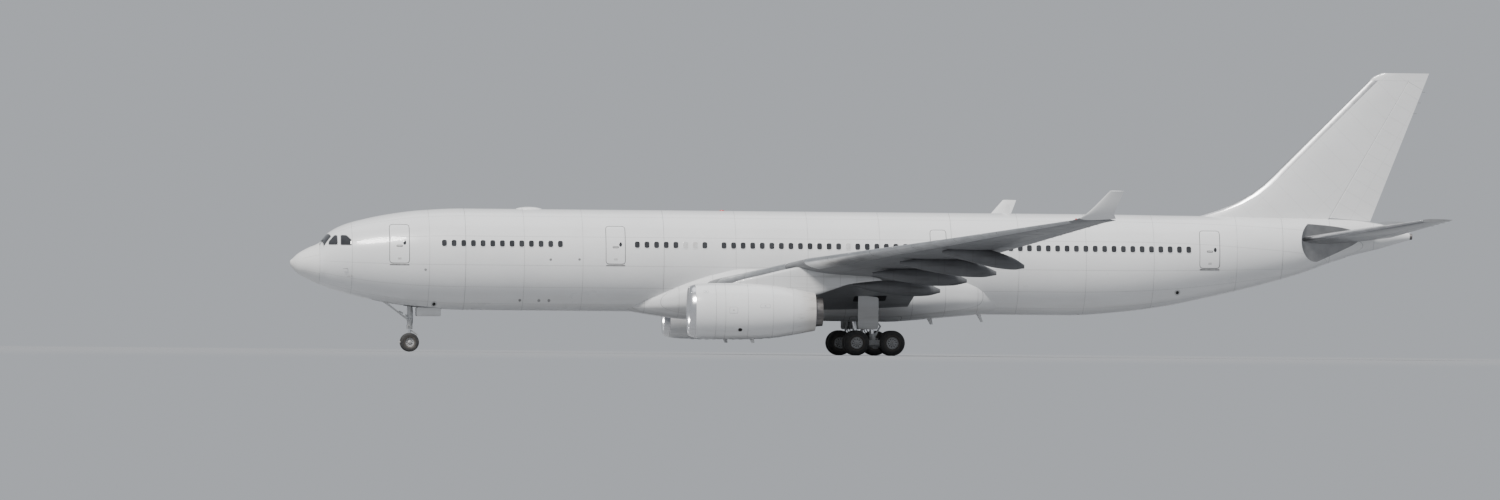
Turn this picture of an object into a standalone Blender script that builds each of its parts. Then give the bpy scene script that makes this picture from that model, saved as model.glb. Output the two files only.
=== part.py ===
"""Wide body airliner, a half-scale model parked on its landing gear.

Every size below is the full-size aircraft's, in metres. A point is given as a station (metres aft
of the nose tip), a side (metres to starboard of the middle) and a height (metres above the
fuselage's centre line). The function at() brings such a point to the model's own frame: nose
towards -X, starboard towards +Y, +Z up, the ground at zero and the origin under the middle.
"""
import math

import bmesh
import bpy
import numpy
from mathutils import Matrix, Vector

# The model and its stance
SCALE = 0.5
LENGTH = 63.689
CENTRE_HEIGHT = 5.15
SEAT = 0.0003 / SCALE
RUNNING = 0.0055 / SCALE

# Fuselage: station, crown height, keel height, half width
FUSELAGE = (
    (0.00, -0.20, -0.28, 0.04),
    (0.12, -0.06, -0.54, 0.29),
    (0.50, 0.28, -0.92, 0.74),
    (1.00, 0.56, -1.17, 1.06),
    (1.60, 0.84, -1.45, 1.38),
    (1.93, 1.24, -1.57, 1.52),
    (2.20, 1.47, -1.68, 1.64),
    (3.00, 1.88, -1.91, 1.95),
    (4.10, 2.19, -2.19, 2.27),
    (5.40, 2.46, -2.45, 2.53),
    (7.20, 2.70, -2.69, 2.74),
    (9.60, 2.82, -2.82, 2.82),
    (43.40, 2.82, -2.82, 2.82),
    (46.40, 2.81, -2.60, 2.79),
    (48.70, 2.79, -2.28, 2.64),
    (50.90, 2.78, -1.82, 2.38),
    (53.60, 2.76, -1.18, 1.94),
    (56.25, 2.73, -0.42, 1.51),
    (58.90, 2.66, 0.55, 1.04),
    (60.70, 2.45, 1.02, 0.68),
    (61.80, 2.17, 1.35, 0.42),
    (62.47, 1.92, 1.54, 0.20),
)
RING_SIDES = 24
RADOME_END = 1.60
COCKPIT_END = 9.60
CENTRE_START = 20.60
CENTRE_END = 36.60
TAIL_START = 55.20
JOINTS = (RADOME_END, COCKPIT_END, CENTRE_START, CENTRE_END, TAIL_START)

# Belly fairing: station, half width, half height, height of its middle
BELLY = (
    (18.70, 1.00, 0.30, -2.48),
    (20.35, 2.30, 0.74, -2.30),
    (22.00, 3.00, 1.22, -2.00),
    (23.50, 3.32, 1.50, -1.76),
    (25.00, 3.42, 1.66, -1.60),
    (33.00, 3.42, 1.66, -1.60),
    (36.00, 3.14, 1.44, -1.60),
    (38.00, 2.60, 1.10, -1.75),
    (39.40, 1.50, 0.70, -1.95),
)
BELLY_POWER = 2.6

# Wing: side, leading edge station, chord, leading edge height, incidence in degrees, thickness ratio
WING = (
    (1.60, 21.84, 12.20, -1.70, 5.2, 0.140),
    (2.82, 22.70, 11.45, -1.45, 5.0, 0.140),
    (9.90, 27.67, 7.06, -0.04, 4.0, 0.115),
    (20.20, 34.90, 4.17, 1.19, 3.3, 0.105),
    (28.50, 40.65, 1.75, 2.22, 3.0, 0.100),
    (29.10, 41.05, 1.95, 2.36, 2.6, 0.090),
)
KINK_SIDE = 9.90

# Winglet: side, leading edge station, chord, leading edge height, half thickness, lean in degrees
WINGLET = (
    (29.10, 41.07, 1.93, 2.36, 0.09, 0),
    (29.42, 41.40, 1.50, 2.62, 0.08, 48),
    (30.12, 42.58, 0.76, 3.84, 0.035, 66),
)

# Tailplane and fin
TAIL_ROOT_SIDE = 0.90
TAILPLANE = (
    (0.90, 56.35, 5.00, 1.52, -2.0, 0.105),
    (9.70, 61.94, 1.75, 2.55, -2.0, 0.095),
)
PIVOT_STATION = 59.00
PIVOT_HEIGHT = 1.62
PIVOT_PIN = 0.12
PIVOT_SIDES = 24
FIN_EDGE = (
    (2.30, 49.30),
    (2.80, 50.70),
    (3.08, 51.60),
    (3.48, 52.58),
    (3.99, 53.50),
    (4.72, 54.45),
    (5.30, 55.03),
    (10.62, 60.38),
    (10.84, 60.86),
)
FIN_FOOT = 2.80
FIN_TOP = 10.84
FIN_TRAILING = (60.35, 63.50)

# Engines
ENGINE_SIDE = 9.37
ENGINE_HEIGHT = -2.77
INLET_END = 22.90
FAN_COWL_END = 24.67
DUCT_RADIUS = 1.24
FAN_STATION = 23.21
FAN_RADIUS = 1.225
HUB_RADIUS = 0.36
BLADES = 18
SHAFT_RADIUS = 0.10
COWL_SIDES = 24

# Landing gear
GROUND = -CENTRE_HEIGHT
MAIN_STATION = 32.04
MAIN_SIDE = 5.34
MAIN_TYRE = (0.70, 0.265)
MAIN_TWIN = 1.40
MAIN_AXLES = 1.98
NOSE_STATION = 6.67
NOSE_TYRE = (0.52, 0.19)
NOSE_TWIN = 0.71
TYRE_SIDES = 20

# Colours: base colour, roughness, metallic
PAINT = ((0.80, 0.81, 0.82), 0.30, 0.0)
WING_GREY = ((0.42, 0.43, 0.44), 0.40, 0.0)
GEAR_GREY = ((0.55, 0.56, 0.57), 0.45, 0.2)
DARK_METAL = ((0.16, 0.16, 0.17), 0.45, 0.8)
TITANIUM = ((0.30, 0.30, 0.32), 0.30, 1.0)
RUBBER = ((0.025, 0.025, 0.026), 0.80, 0.0)
RADOME_PAINT = ((0.78, 0.78, 0.78), 0.40, 0.0)

SIDES = (("left", -1), ("right", 1))

# Hinges of the control surfaces
NOSE_SHARE = 0.965
NOSE_INSET = 0.004
PIN_REACH = 0.06
PIN_SIDES = 16
NOSE_SIDES = 12
AXLE_SIDES = 20


def at(station, side, height):
    """Bring a point of the full-size aircraft to the model's frame."""
    return Vector(((station - LENGTH / 2) * SCALE, side * SCALE, (height + CENTRE_HEIGHT) * SCALE))


def clear_scene():
    for obj in list(bpy.data.objects):
        bpy.data.objects.remove(obj)


def new_collection(name):
    collection = bpy.data.collections.new(name)
    bpy.context.scene.collection.children.link(collection)
    return collection


clear_scene()
AIRLINER = new_collection("wide_body_airliner")
CUTTERS = new_collection("cutters")


def material(name, finish):
    colour, roughness, metallic = finish
    mat = bpy.data.materials.new(name)
    mat.use_nodes = True
    shader = mat.node_tree.nodes["Principled BSDF"]
    shader.inputs["Base Color"].default_value = (*colour, 1.0)
    shader.inputs["Roughness"].default_value = roughness
    shader.inputs["Metallic"].default_value = metallic
    return mat


# Making, cutting and joining solids

def solid(name, bm):
    """A loose solid from a bmesh, its faces pointing out."""
    bmesh.ops.recalc_face_normals(bm, faces=bm.faces)
    mesh = bpy.data.meshes.new(name)
    bm.to_mesh(mesh)
    bm.free()
    obj = bpy.data.objects.new(name, mesh)
    CUTTERS.objects.link(obj)
    obj.hide_render = True
    obj.display_type = "WIRE"
    return obj


def loft(name, rings):
    """A closed skin over rings of points that all have the same count."""
    bm = bmesh.new()
    loops = [[bm.verts.new(point) for point in ring] for ring in rings]
    count = len(loops[0])
    for near, far in zip(loops, loops[1:]):
        for i in range(count):
            j = (i + 1) % count
            bm.faces.new((near[i], near[j], far[j]))
            bm.faces.new((near[i], far[j], far[i]))
    bm.faces.new(loops[0])
    bm.faces.new(list(reversed(loops[-1])))
    return solid(name, bm)


def plan_prism(name, outline, low, high):
    """An upright prism over a plan outline of (station, side) points."""
    return loft(name, [[at(x, y, z) for x, y in outline] for z in (low, high)])


def side_prism(name, outline, left, right):
    """A crosswise prism over a side view outline of (station, height) points."""
    return loft(name, [[at(x, y, z) for x, z in outline] for y in (left, right)])


def rod(name, start, end, start_radius, end_radius=None, sides=16):
    """A round bar or cone between two points of the model's frame."""
    end_radius = start_radius if end_radius is None else end_radius
    run = end - start
    bm = bmesh.new()
    bmesh.ops.create_cone(bm, cap_ends=True, segments=sides, radius1=start_radius * SCALE,
                          radius2=end_radius * SCALE, depth=run.length)
    turn = run.to_track_quat("Z", "Y").to_matrix().to_4x4()
    bmesh.ops.transform(bm, matrix=Matrix.Translation((start + end) / 2) @ turn, verts=bm.verts)
    return solid(name, bm)


def block(name, low, high):
    """A box between two corners of the full-size aircraft."""
    bm = bmesh.new()
    bmesh.ops.create_cube(bm, size=1.0)
    a, b = at(*low), at(*high)
    bmesh.ops.scale(bm, vec=b - a, verts=bm.verts)
    bmesh.ops.translate(bm, vec=(a + b) / 2, verts=bm.verts)
    return solid(name, bm)


def turned(name, profile, axis_point, direction="X", sides=COWL_SIDES):
    """Turn a closed profile of (distance along the axis, radius) about an axis through a point."""
    mesh = bpy.data.meshes.new(name)
    points = [(max(r, 0.0) * SCALE, 0.0, -a * SCALE) for a, r in profile]
    edges = [(i, (i + 1) % len(points)) for i in range(len(points))]
    if profile[0][1] <= 0.0 and profile[-1][1] <= 0.0:
        edges.pop()
    mesh.from_pydata(points, edges, [])
    obj = bpy.data.objects.new(name, mesh)
    CUTTERS.objects.link(obj)
    screw = obj.modifiers.new("turn", "SCREW")
    screw.steps = sides
    screw.render_steps = sides
    screw.use_merge_vertices = True
    screw.merge_threshold = 0.00001
    bm = evaluated(obj)
    bpy.data.objects.remove(obj)
    bmesh.ops.remove_doubles(bm, verts=bm.verts, dist=0.00001)
    turn = {"X": Matrix.Rotation(-math.pi / 2, 4, "Y"), "Y": Matrix.Rotation(math.pi / 2, 4, "X"),
            "Z": Matrix.Rotation(math.pi, 4, "X")}[direction]
    bmesh.ops.transform(bm, matrix=Matrix.Translation(axis_point) @ turn, verts=bm.verts)
    return solid(name, bm)


def evaluated(obj):
    """A bmesh of an object with its modifiers, in the model's frame."""
    bpy.context.view_layer.update()
    shown = obj.evaluated_get(bpy.context.evaluated_depsgraph_get())
    mesh = bpy.data.meshes.new_from_object(shown)
    bm = bmesh.new()
    bm.from_mesh(mesh)
    bmesh.ops.transform(bm, matrix=obj.matrix_world, verts=bm.verts)
    bpy.data.meshes.remove(mesh)
    return bm


def combine(target, tool, operation, keep_tool=False):
    """Cut, keep or join one solid by another and make the result its mesh."""
    step = target.modifiers.new("shape", "BOOLEAN")
    step.operation = operation
    step.solver = "EXACT"
    step.object = tool
    bm = evaluated(target)
    target.modifiers.remove(step)
    bmesh.ops.dissolve_degenerate(bm, dist=0.000002, edges=bm.edges)
    bm.to_mesh(target.data)
    bm.free()
    if not keep_tool:
        bpy.data.objects.remove(tool)
    return target


def cut(target, tool, keep_tool=False):
    return combine(target, tool, "DIFFERENCE", keep_tool)


def keep(target, tool, keep_tool=False):
    return combine(target, tool, "INTERSECT", keep_tool)


def join(target, *tools):
    for tool in tools:
        combine(target, tool, "UNION")
    return target


def copy_of(obj, name):
    twin = bpy.data.objects.new(name, obj.data.copy())
    CUTTERS.objects.link(twin)
    twin.hide_render = True
    twin.display_type = "WIRE"
    return twin


def finished(name, obj, finish, pivot=None, smooth=30):
    """Name a solid as one of the model's pieces, with its origin on its joint's axis."""
    obj.name = name
    obj.data.name = name
    if pivot is not None:
        obj.data.transform(Matrix.Translation(-pivot))
        obj.location = pivot
    obj.data.materials.clear()
    obj.data.materials.append(material(name, finish))
    obj.data.shade_smooth()
    obj.data.set_sharp_from_angle(angle=math.radians(smooth))
    CUTTERS.objects.unlink(obj)
    AIRLINER.objects.link(obj)
    obj.hide_render = False
    obj.display_type = "TEXTURED"
    return obj


# Fuselage

def fuselage_ring(station, grow=0.0):
    """The fuselage's oval at a station."""
    columns = list(zip(*FUSELAGE))
    top, bottom, half = (numpy.interp(station, columns[0], columns[i]) for i in (1, 2, 3))
    middle, rise = (top + bottom) / 2, (top - bottom) / 2
    angles = [2 * math.pi * (i + 0.5) / RING_SIDES for i in range(RING_SIDES)]
    return [at(station, (half + grow) * math.sin(a), middle + (rise + grow) * math.cos(a)) for a in angles]


def fuselage_piece(name, start, end):
    stations = [start] + [row[0] for row in FUSELAGE if start < row[0] < end] + [end]
    return loft(name, [fuselage_ring(x) for x in stations])


def hull(grow=SEAT):
    """The whole fuselage a little larger, which cuts what sits on it."""
    stations = sorted({row[0] for row in FUSELAGE} | set(JOINTS))
    return loft("hull", [fuselage_ring(x, grow) for x in stations])


def oval_ring(station, half_width, half_height, height, power, grow=0.0):
    """A rounded-square oval across the fuselage."""
    ring = []
    for i in range(RING_SIDES):
        a = 2 * math.pi * (i + 0.5) / RING_SIDES
        s, c = math.sin(a), math.cos(a)
        y = math.copysign(abs(s) ** (2 / power), s)
        z = math.copysign(abs(c) ** (2 / power), c)
        ring.append(at(station, (half_width + grow) * y, height + (half_height + grow) * z))
    return ring


def belly_solid(name, grow=0.0):
    return loft(name, [oval_ring(*row, BELLY_POWER, grow) for row in BELLY])


def make_fuselage():
    """The pressure hull in its barrels, and the fairing under its middle."""
    finished("radome", fuselage_piece("radome", 0.0, RADOME_END), RADOME_PAINT)
    front = fuselage_piece("cockpit_section", RADOME_END + SEAT, COCKPIT_END)
    finished("cockpit_section", front, PAINT)
    forward = fuselage_piece("forward_fuselage", COCKPIT_END + SEAT, CENTRE_START)
    finished("forward_fuselage", join(forward, nose_jack_pad()), PAINT)
    centre = fuselage_piece("centre_fuselage", CENTRE_START + SEAT, CENTRE_END)
    finished("centre_fuselage", centre, PAINT)
    finished("aft_fuselage", fuselage_piece("aft_fuselage", CENTRE_END + SEAT, TAIL_START), PAINT)

    tail = fuselage_piece("tail_cone", TAIL_START + SEAT, FUSELAGE[-1][0])
    finished("tail_cone", cut(tail, tailplane_seats()), PAINT)

    belly = belly_solid("belly_fairing")
    cut(belly, hull())
    finished("belly_fairing", belly, PAINT)


NOSE_JACK = (10.60, -2.90)
JACK_RADIUS = 0.16


def nose_jack_pad():
    station, height = NOSE_JACK
    return rod("pad", at(station, 0, height), at(station, 0, height + 0.5), JACK_RADIUS)


def tailplane_seats():
    """The flats beside the tail cone that the tailplane's roots swing over, and their bore."""
    reach = PIVOT_STATION - TAILPLANE[0][1] + 0.10
    tool = rod("seats", at(PIVOT_STATION, -2.5, PIVOT_HEIGHT), at(PIVOT_STATION, -TAIL_ROOT_SIDE, PIVOT_HEIGHT),
               reach, sides=40)
    other = rod("seats_right", at(PIVOT_STATION, TAIL_ROOT_SIDE, PIVOT_HEIGHT),
                at(PIVOT_STATION, 2.5, PIVOT_HEIGHT), reach, sides=40)
    hole = bore("hole", at(PIVOT_STATION, -1.2, PIVOT_HEIGHT), at(PIVOT_STATION, 1.2, PIVOT_HEIGHT),
                PIVOT_PIN, PIVOT_SIDES)
    return join(tool, hole, other)


# Wings, tailplane and fin

SECTION_STEPS = 7
EDGE_SHARE = 0.0035


def spread(x):
    """Half a wing section's thickness at a fraction of its chord, as a share of the full one."""
    return 0.5 * (2.969 * math.sqrt(x) - 1.260 * x - 3.516 * x ** 2 + 2.843 * x ** 3 - 1.010 * x ** 4)


def section_outline(chord, thick, grow=0.0):
    """A wing section as (distance along the chord, offset), from the trailing edge over the top."""
    outline = []
    steps = [0.5 * (1 - math.cos(math.pi * i / SECTION_STEPS)) for i in range(SECTION_STEPS + 1)]
    for sign, fractions in ((1, reversed(steps)), (-1, steps[1:])):
        for x in fractions:
            offset = spread(x) * thick + EDGE_SHARE * chord * x + (grow if x > 0.0 else 0.0)
            outline.append((x * chord + (2 * x - 1) * grow, sign * offset))
    return outline


def section(side, front, chord, height, incidence, thickness, grow=0.0):
    """A wing section's ring at a side."""
    angle = math.radians(incidence)
    return [at(front + along * math.cos(angle) + up * math.sin(angle), side,
               height - along * math.sin(angle) + up * math.cos(angle))
            for along, up in section_outline(chord, thickness * chord, grow)]


def wing_solid(name, rows, sign, grow=0.0):
    rings = [section(sign * row[0], *row[1:], grow) for row in rows]
    return loft(name, rings)


def row_at(rows, side):
    """A surface's sizes at a side, between its given stations."""
    columns = list(zip(*rows))
    return tuple(float(numpy.interp(side, columns[0], column)) for column in columns)


def point_on(rows, sign, side, fraction):
    """A point of a surface's middle sheet, at a fraction of its chord."""
    _, front, chord, height, incidence, _ = row_at(rows, side)
    angle = math.radians(incidence)
    return at(front + fraction * chord * math.cos(angle), sign * side, height - fraction * chord * math.sin(angle))


def half_thickness(rows, side, fraction):
    _, _, chord, _, _, thickness = row_at(rows, side)
    return spread(fraction) * thickness * chord + EDGE_SHARE * chord * fraction


def slab(name, start, end, ahead, behind, across, over, aft):
    """A box along a hinge line: from ahead of it to behind it, and as thick as across each way."""
    along = (end - start).normalized()
    back = (aft - aft.dot(along) * along).normalized()
    up = along.cross(back)
    corners = []
    for point in (start - along * over, end + along * over):
        corners.append([point + back * b + up * u for b, u in
                        ((-ahead, -across), (behind, -across), (behind, across), (-ahead, across))])
    return loft(name, corners)


def bore(name, start, end, radius, sides):
    """A cutter for the hole that a round pin of as many sides turns in."""
    return rod(name, start, end, (radius + SEAT) / math.cos(math.pi / sides), sides=sides)


def hinged(name, surface, ends, radii, reach, pin_radius, finish, low=0.0, trims=()):
    """Split a control surface off a fixed one: a wedge behind the hinge line with a round nose.

    It turns on pins that stand out of its ends into bores of what carries it. Low is how far the
    panel runs on past its first end, where the trims then cut it.
    """
    start, end = ends
    along = (end - start).normalized()
    foot = start - along * low * SCALE
    aft = Vector((1, 0, 0))
    thick = 2.0 * SCALE
    clearance = RUNNING * SCALE
    panel = copy_of(surface, name)
    keep(panel, slab("wedge", foot, end, 0.0, reach * SCALE, thick, 0.0, aft))
    nose = [radius * NOSE_SHARE for radius in radii]
    inset = along * NOSE_INSET * SCALE
    join(panel, rod("nose", foot + inset, end - inset, nose[0], nose[1], sides=NOSE_SIDES))
    for trim in trims:
        cut(panel, trim)
    stub = along * (RUNNING + PIN_REACH) * SCALE
    tip = along * PIN_REACH * 0.2 * SCALE
    join(panel, rod("pin", start - stub, end + stub, pin_radius, sides=PIN_SIDES))
    ahead = max(radii) * SCALE + clearance
    cut(surface, slab("gap", foot, end, ahead, reach * SCALE, thick, clearance, aft))
    hole = bore("hole", start - stub - tip, end + stub + tip, pin_radius, PIN_SIDES)
    cut(surface, hole, keep_tool=True)
    finished(name, panel, finish, pivot=start)
    return hole


# Tail

def fin_ring(height, grow=0.0):
    """The fin's level section at a height; its dorsal fillet stretches the front of it."""
    heights, fronts = zip(*FIN_EDGE)
    front = float(numpy.interp(height, heights, fronts))
    back = FIN_TRAILING[0] + (height - FIN_FOOT) * FIN_RAKE
    straight_front = FIN_EDGE[-3][1] + (height - FIN_EDGE[-3][0]) * FIN_SWEEP
    thick = FIN_THICKNESS * (back - straight_front)
    return [at(front + along, out, height) for along, out in section_outline(back - front, thick, grow)]


FIN_RAKE = (FIN_TRAILING[1] - FIN_TRAILING[0]) / (FIN_TOP - FIN_FOOT)
FIN_SWEEP = (FIN_EDGE[-2][1] - FIN_EDGE[-3][1]) / (FIN_EDGE[-2][0] - FIN_EDGE[-3][0])
FIN_THICKNESS = 0.10
RUDDER_FOOT = (58.04, 2.75)
RUDDER_HEAD = (62.36, 10.35)
RUDDER_CHORD = 3.2
RUDDER_PIN = 0.06
RUDDER_LOW = 1.3
RUDDER_RADII = (0.29, 0.115)
RUDDER_SWING = (-30, -20, -10, 0, 10, 20, 30)


def hull_as_turned(degrees, foot, head):
    """The fuselage as the rudder meets it when it has turned that far about its hinge."""
    seen = hull(RUNNING)
    turn = Matrix.Rotation(math.radians(degrees), 4, head - foot)
    seen.data.transform(Matrix.Translation(foot) @ turn @ Matrix.Translation(-foot))
    return seen


def make_fin():
    """The fin with its dorsal fillet, and the rudder, which turns in the tail cone and the fin's tip."""
    fin = loft("fin", [fin_ring(height) for height, _ in FIN_EDGE])
    cut(fin, hull())
    ends = (at(RUDDER_FOOT[0], 0, RUDDER_FOOT[1]), at(RUDDER_HEAD[0], 0, RUDDER_HEAD[1]))
    trims = [hull_as_turned(degrees, *ends) for degrees in RUDDER_SWING]
    hole = hinged("rudder", fin, ends, RUDDER_RADII, RUDDER_CHORD, RUDDER_PIN, PAINT, low=RUDDER_LOW,
                  trims=trims)
    finished("fin", fin, PAINT)
    return hole


def make_tailplane():
    """Each half of the trimming tailplane with its pivot pin, and its elevator."""
    inner = (TAIL_ROOT_SIDE + RUNNING, *row_at(TAILPLANE, TAIL_ROOT_SIDE + RUNNING)[1:])
    rows = (inner, TAILPLANE[1])
    for word, sign in SIDES:
        half = wing_solid("tailplane_" + word, rows, sign)
        pin_start = at(PIVOT_STATION, sign * 0.05, PIVOT_HEIGHT)
        pin_end = at(PIVOT_STATION, sign * (TAIL_ROOT_SIDE + 0.10), PIVOT_HEIGHT)
        join(half, rod("pin", pin_start, pin_end, PIVOT_PIN, sides=PIVOT_SIDES))
        ends = [point_on(TAILPLANE, sign, side, ELEVATOR_LINE) for side in ELEVATOR_SIDES]
        radii = [half_thickness(TAILPLANE, side, ELEVATOR_LINE) for side in ELEVATOR_SIDES]
        hole = hinged("elevator_" + word, half, ends, radii, ELEVATOR_CHORD, ELEVATOR_PIN, PAINT)
        bpy.data.objects.remove(hole)
        finished("tailplane_" + word, half, PAINT, pivot=at(PIVOT_STATION, 0, PIVOT_HEIGHT))


ELEVATOR_LINE = 0.70
ELEVATOR_SIDES = (1.60, 9.30)
ELEVATOR_CHORD = 2.2
ELEVATOR_PIN = 0.04


# Wings

FLAP_CHORDS = ((2.82, 2.15), (9.90, 1.75), (20.20, 1.10))
SLAT_SHARE = 0.12
INNER_SLAT = (3.90, 8.70)
OUTER_SLAT = (10.05, 28.30)
INNER_FLAP = (3.75, 9.20)
OUTER_FLAP = (9.30, 19.95)
AILERON_LINE = 0.74
AILERON_CHORD = 2.0
AILERON_PIN = 0.03
AILERONS = (("inner", (20.50, 24.10)), ("outer", (24.36, 28.10)))
CANOES = (
    # side, start station, start height, end station, end height
    (8.40, 30.60, -1.25, 35.45, -1.55),
    (11.80, 31.40, -0.65, 36.60, -1.00),
    (15.20, 32.60, -0.05, 37.90, -0.58),
    (18.60, 34.60, 0.55, 39.10, -0.22),
)
CANOE_SIZES = ((0.0, 0.05, 0.07), (0.25, 0.24, 0.34), (0.60, 0.28, 0.46), (0.85, 0.20, 0.34), (1.0, 0.05, 0.10))
CANOE_SIDES = 10
WING_JACK = (30.60, 7.40, -1.42)


def strip(first, last, edges, grow=0.0):
    """The plan outline between two sides and two edges, each edge a function of the side."""
    sides = [first - grow] + [KINK_SIDE] * (first < KINK_SIDE < last) + [last + grow]
    fore, aft = edges
    return [(fore(y) - grow, y) for y in sides] + [(aft(y) + grow, y) for y in reversed(sides)]


def leading_edge(side):
    return row_at(WING, side)[1]


def trailing_edge(side):
    _, front, chord, *_ = row_at(WING, side)
    return front + chord


def slat_line(side):
    _, front, chord, *_ = row_at(WING, side)
    return front + SLAT_SHARE * chord


def flap_line(side):
    return trailing_edge(side) - float(numpy.interp(side, *zip(*FLAP_CHORDS)))


def ahead_of_wing(side):
    return leading_edge(side) - 1.0


def behind_wing(side):
    return trailing_edge(side) + 1.0


def high_lift_piece(name, wing, span, edges, sign, trims=()):
    """Take a slat or a flap out of the wing."""
    tall = (-6.0, 6.0)
    piece = copy_of(wing, name)
    outline = [(x, sign * y) for x, y in strip(*span, edges)]
    keep(piece, plan_prism("cell", outline, *tall))
    for trim in trims:
        cut(piece, trim, keep_tool=True)
    wider = [(x, sign * y) for x, y in strip(*span, edges, SEAT)]
    cut(wing, plan_prism("cell", wider, *tall))
    finished(name, piece, WING_GREY)


def canoe(sign, row, grow=0.0):
    """The fairing under a flap track, hanging below and behind the wing."""
    side, x0, z0, x1, z1 = row
    rings = []
    for share, half_width, half_height in CANOE_SIZES:
        x = x0 + share * (x1 - x0) + (2 * share - 1) * grow
        z = z0 + share ** 1.5 * (z1 - z0)
        turns = [2 * math.pi * (i + 0.5) / CANOE_SIDES for i in range(CANOE_SIDES)]
        rings.append([at(x, sign * side + (half_width + grow) * math.sin(a),
                         z + (half_height + grow) * math.cos(a)) for a in turns])
    return loft("canoe", rings)


def make_wing(word, sign):
    """One wing: its fixed box with the flap track fairings, its slats, flaps, ailerons and winglet."""
    wing = wing_solid("wing_" + word, WING, sign)
    cut(wing, hull())
    cut(wing, belly_solid("belly", SEAT))
    canoe_cutters = [canoe(sign, row, SEAT) for row in CANOES]
    slat_edges, flap_edges = (ahead_of_wing, slat_line), (flap_line, behind_wing)
    high_lift_piece("slat_inner_" + word, wing, INNER_SLAT, slat_edges, sign)
    high_lift_piece("slat_outer_" + word, wing, OUTER_SLAT, slat_edges, sign)
    high_lift_piece("flap_inner_" + word, wing, INNER_FLAP, flap_edges, sign, canoe_cutters)
    high_lift_piece("flap_outer_" + word, wing, OUTER_FLAP, flap_edges, sign, canoe_cutters)
    for cutter in canoe_cutters:
        bpy.data.objects.remove(cutter)
    join(wing, *[canoe(sign, row) for row in CANOES])
    for place, sides in AILERONS:
        ends = [point_on(WING, sign, side, AILERON_LINE) for side in sides]
        radii = [half_thickness(WING, side, AILERON_LINE) for side in sides]
        name = "aileron_%s_%s" % (place, word)
        hole = hinged(name, wing, ends, radii, AILERON_CHORD, AILERON_PIN, WING_GREY)
        bpy.data.objects.remove(hole)
    station, side, height = WING_JACK
    pad_foot, pad_root = at(station, sign * side, height), at(station, sign * side, height + 0.45)
    join(wing, rod("pad", pad_foot, pad_root, JACK_RADIUS))
    finished("wing_" + word, wing, WING_GREY)
    make_winglet(word, sign)


def make_winglet(word, sign):
    """The canted fin at a wing's tip."""
    rings = []
    for side, front, chord, height, half, lean in WINGLET:
        out, rise = -math.sin(math.radians(lean)), math.cos(math.radians(lean))
        rings.append([at(front + along, sign * (side + SEAT + up * out), height + up * rise)
                      for along, up in section_outline(chord, 2 * half)])
    finished("winglet_" + word, loft("winglet", rings), PAINT)


# Engines and pylons

COWL_OUTER = ((22.90, 1.535), (23.80, 1.550), (24.67, 1.540), (25.90, 1.470), (27.18, 1.285), (28.45, 1.035))
INLET_LIP = ((22.30, 1.530), (21.85, 1.480), (21.56, 1.400), (21.45, 1.310), (21.52, 1.220), (21.80, 1.175),
             (22.30, 1.190))
FAN_DUCT = 1.25
AFT_DUCT = ((28.45, 0.985), (27.20, 1.150), (24.67, 1.26))
CORE = ((23.60, 0.00), (23.60, 0.66), (24.60, 0.86), (27.60, 0.88), (28.86, 0.77), (28.86, 0.73), (27.90, 0.74),
        (27.90, 0.42), (28.76, 0.00))
SHAFT_DEPTH = 0.50
SPINNER = ((22.42, 0.00), (22.46, 0.07), (22.70, 0.22), (23.02, HUB_RADIUS), (23.40, HUB_RADIUS), (23.40, SHAFT_RADIUS),
           (23.60 + SHAFT_DEPTH, SHAFT_RADIUS), (23.60 + SHAFT_DEPTH, 0.00))
PYLON_SIDE = ((23.60, -1.30), (24.30, -1.04), (26.90, -0.42), (27.35, -0.12), (29.00, -0.35), (31.90, -0.80),
              (32.10, -0.98), (30.40, -1.22), (29.30, -1.58), (28.60, -1.82), (28.10, -2.05), (24.45, -2.05),
              (24.40, -1.50))
PYLON_PLAN = ((23.50, -0.04), (25.60, -0.23), (29.60, -0.23), (32.20, -0.04), (32.20, 0.04), (29.60, 0.23),
              (25.60, 0.23), (23.50, 0.04))


def widened(outline, distance):
    """An outline moved outwards on every side."""
    area = sum(a[0] * b[1] - b[0] * a[1] for a, b in zip(outline, outline[1:] + outline[:1]))
    out = math.copysign(1.0, area)
    moved = []
    for i, point in enumerate(outline):
        before = Vector(point) - Vector(outline[i - 1])
        after = Vector(outline[(i + 1) % len(outline)]) - Vector(point)
        n1 = Vector((before.y, -before.x)).normalized() * out
        n2 = Vector((after.y, -after.x)).normalized() * out
        bisector = (n1 + n2).normalized()
        moved.append(tuple(Vector(point) + bisector * distance / max(bisector.dot(n1), 0.35)))
    return tuple(moved)


def pylon_solid(name, sign, grow=0.0):
    side = sign * ENGINE_SIDE
    body = side_prism(name, widened(PYLON_SIDE, grow), side - 0.5, side + 0.5)
    plan = [(x, side + y) for x, y in widened(PYLON_PLAN, grow)]
    return keep(body, plan_prism("plan", plan, -6.0, 3.0))


def blade_solids(middle):
    """The fan's blades as one set of twisted plates around the hub."""
    bm = bmesh.new()
    stations = ((HUB_RADIUS - 0.06, 0.28, 12), (FAN_RADIUS, 0.44, 58))
    for i in range(BLADES):
        spin = Matrix.Rotation(2 * math.pi * i / BLADES, 4, "X")
        loops = []
        for radius, chord, stagger in stations:
            a = math.radians(stagger)
            along = Vector((math.cos(a), math.sin(a), 0)) * chord / 2
            thick = Vector((-math.sin(a), math.cos(a), 0)) * 0.016
            out = Vector((0, 0, radius))
            corners = (out - along, out + thick, out + along, out - thick)
            loops.append([bm.verts.new(middle + spin @ corner * SCALE) for corner in corners])
        for near, far in zip(loops, loops[1:]):
            for j in range(4):
                k = (j + 1) % 4
                bm.faces.new((near[j], near[k], far[k]))
                bm.faces.new((near[j], far[k], far[j]))
        bm.faces.new(loops[0])
        bm.faces.new(list(reversed(loops[-1])))
    return solid("blades", bm)


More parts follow.
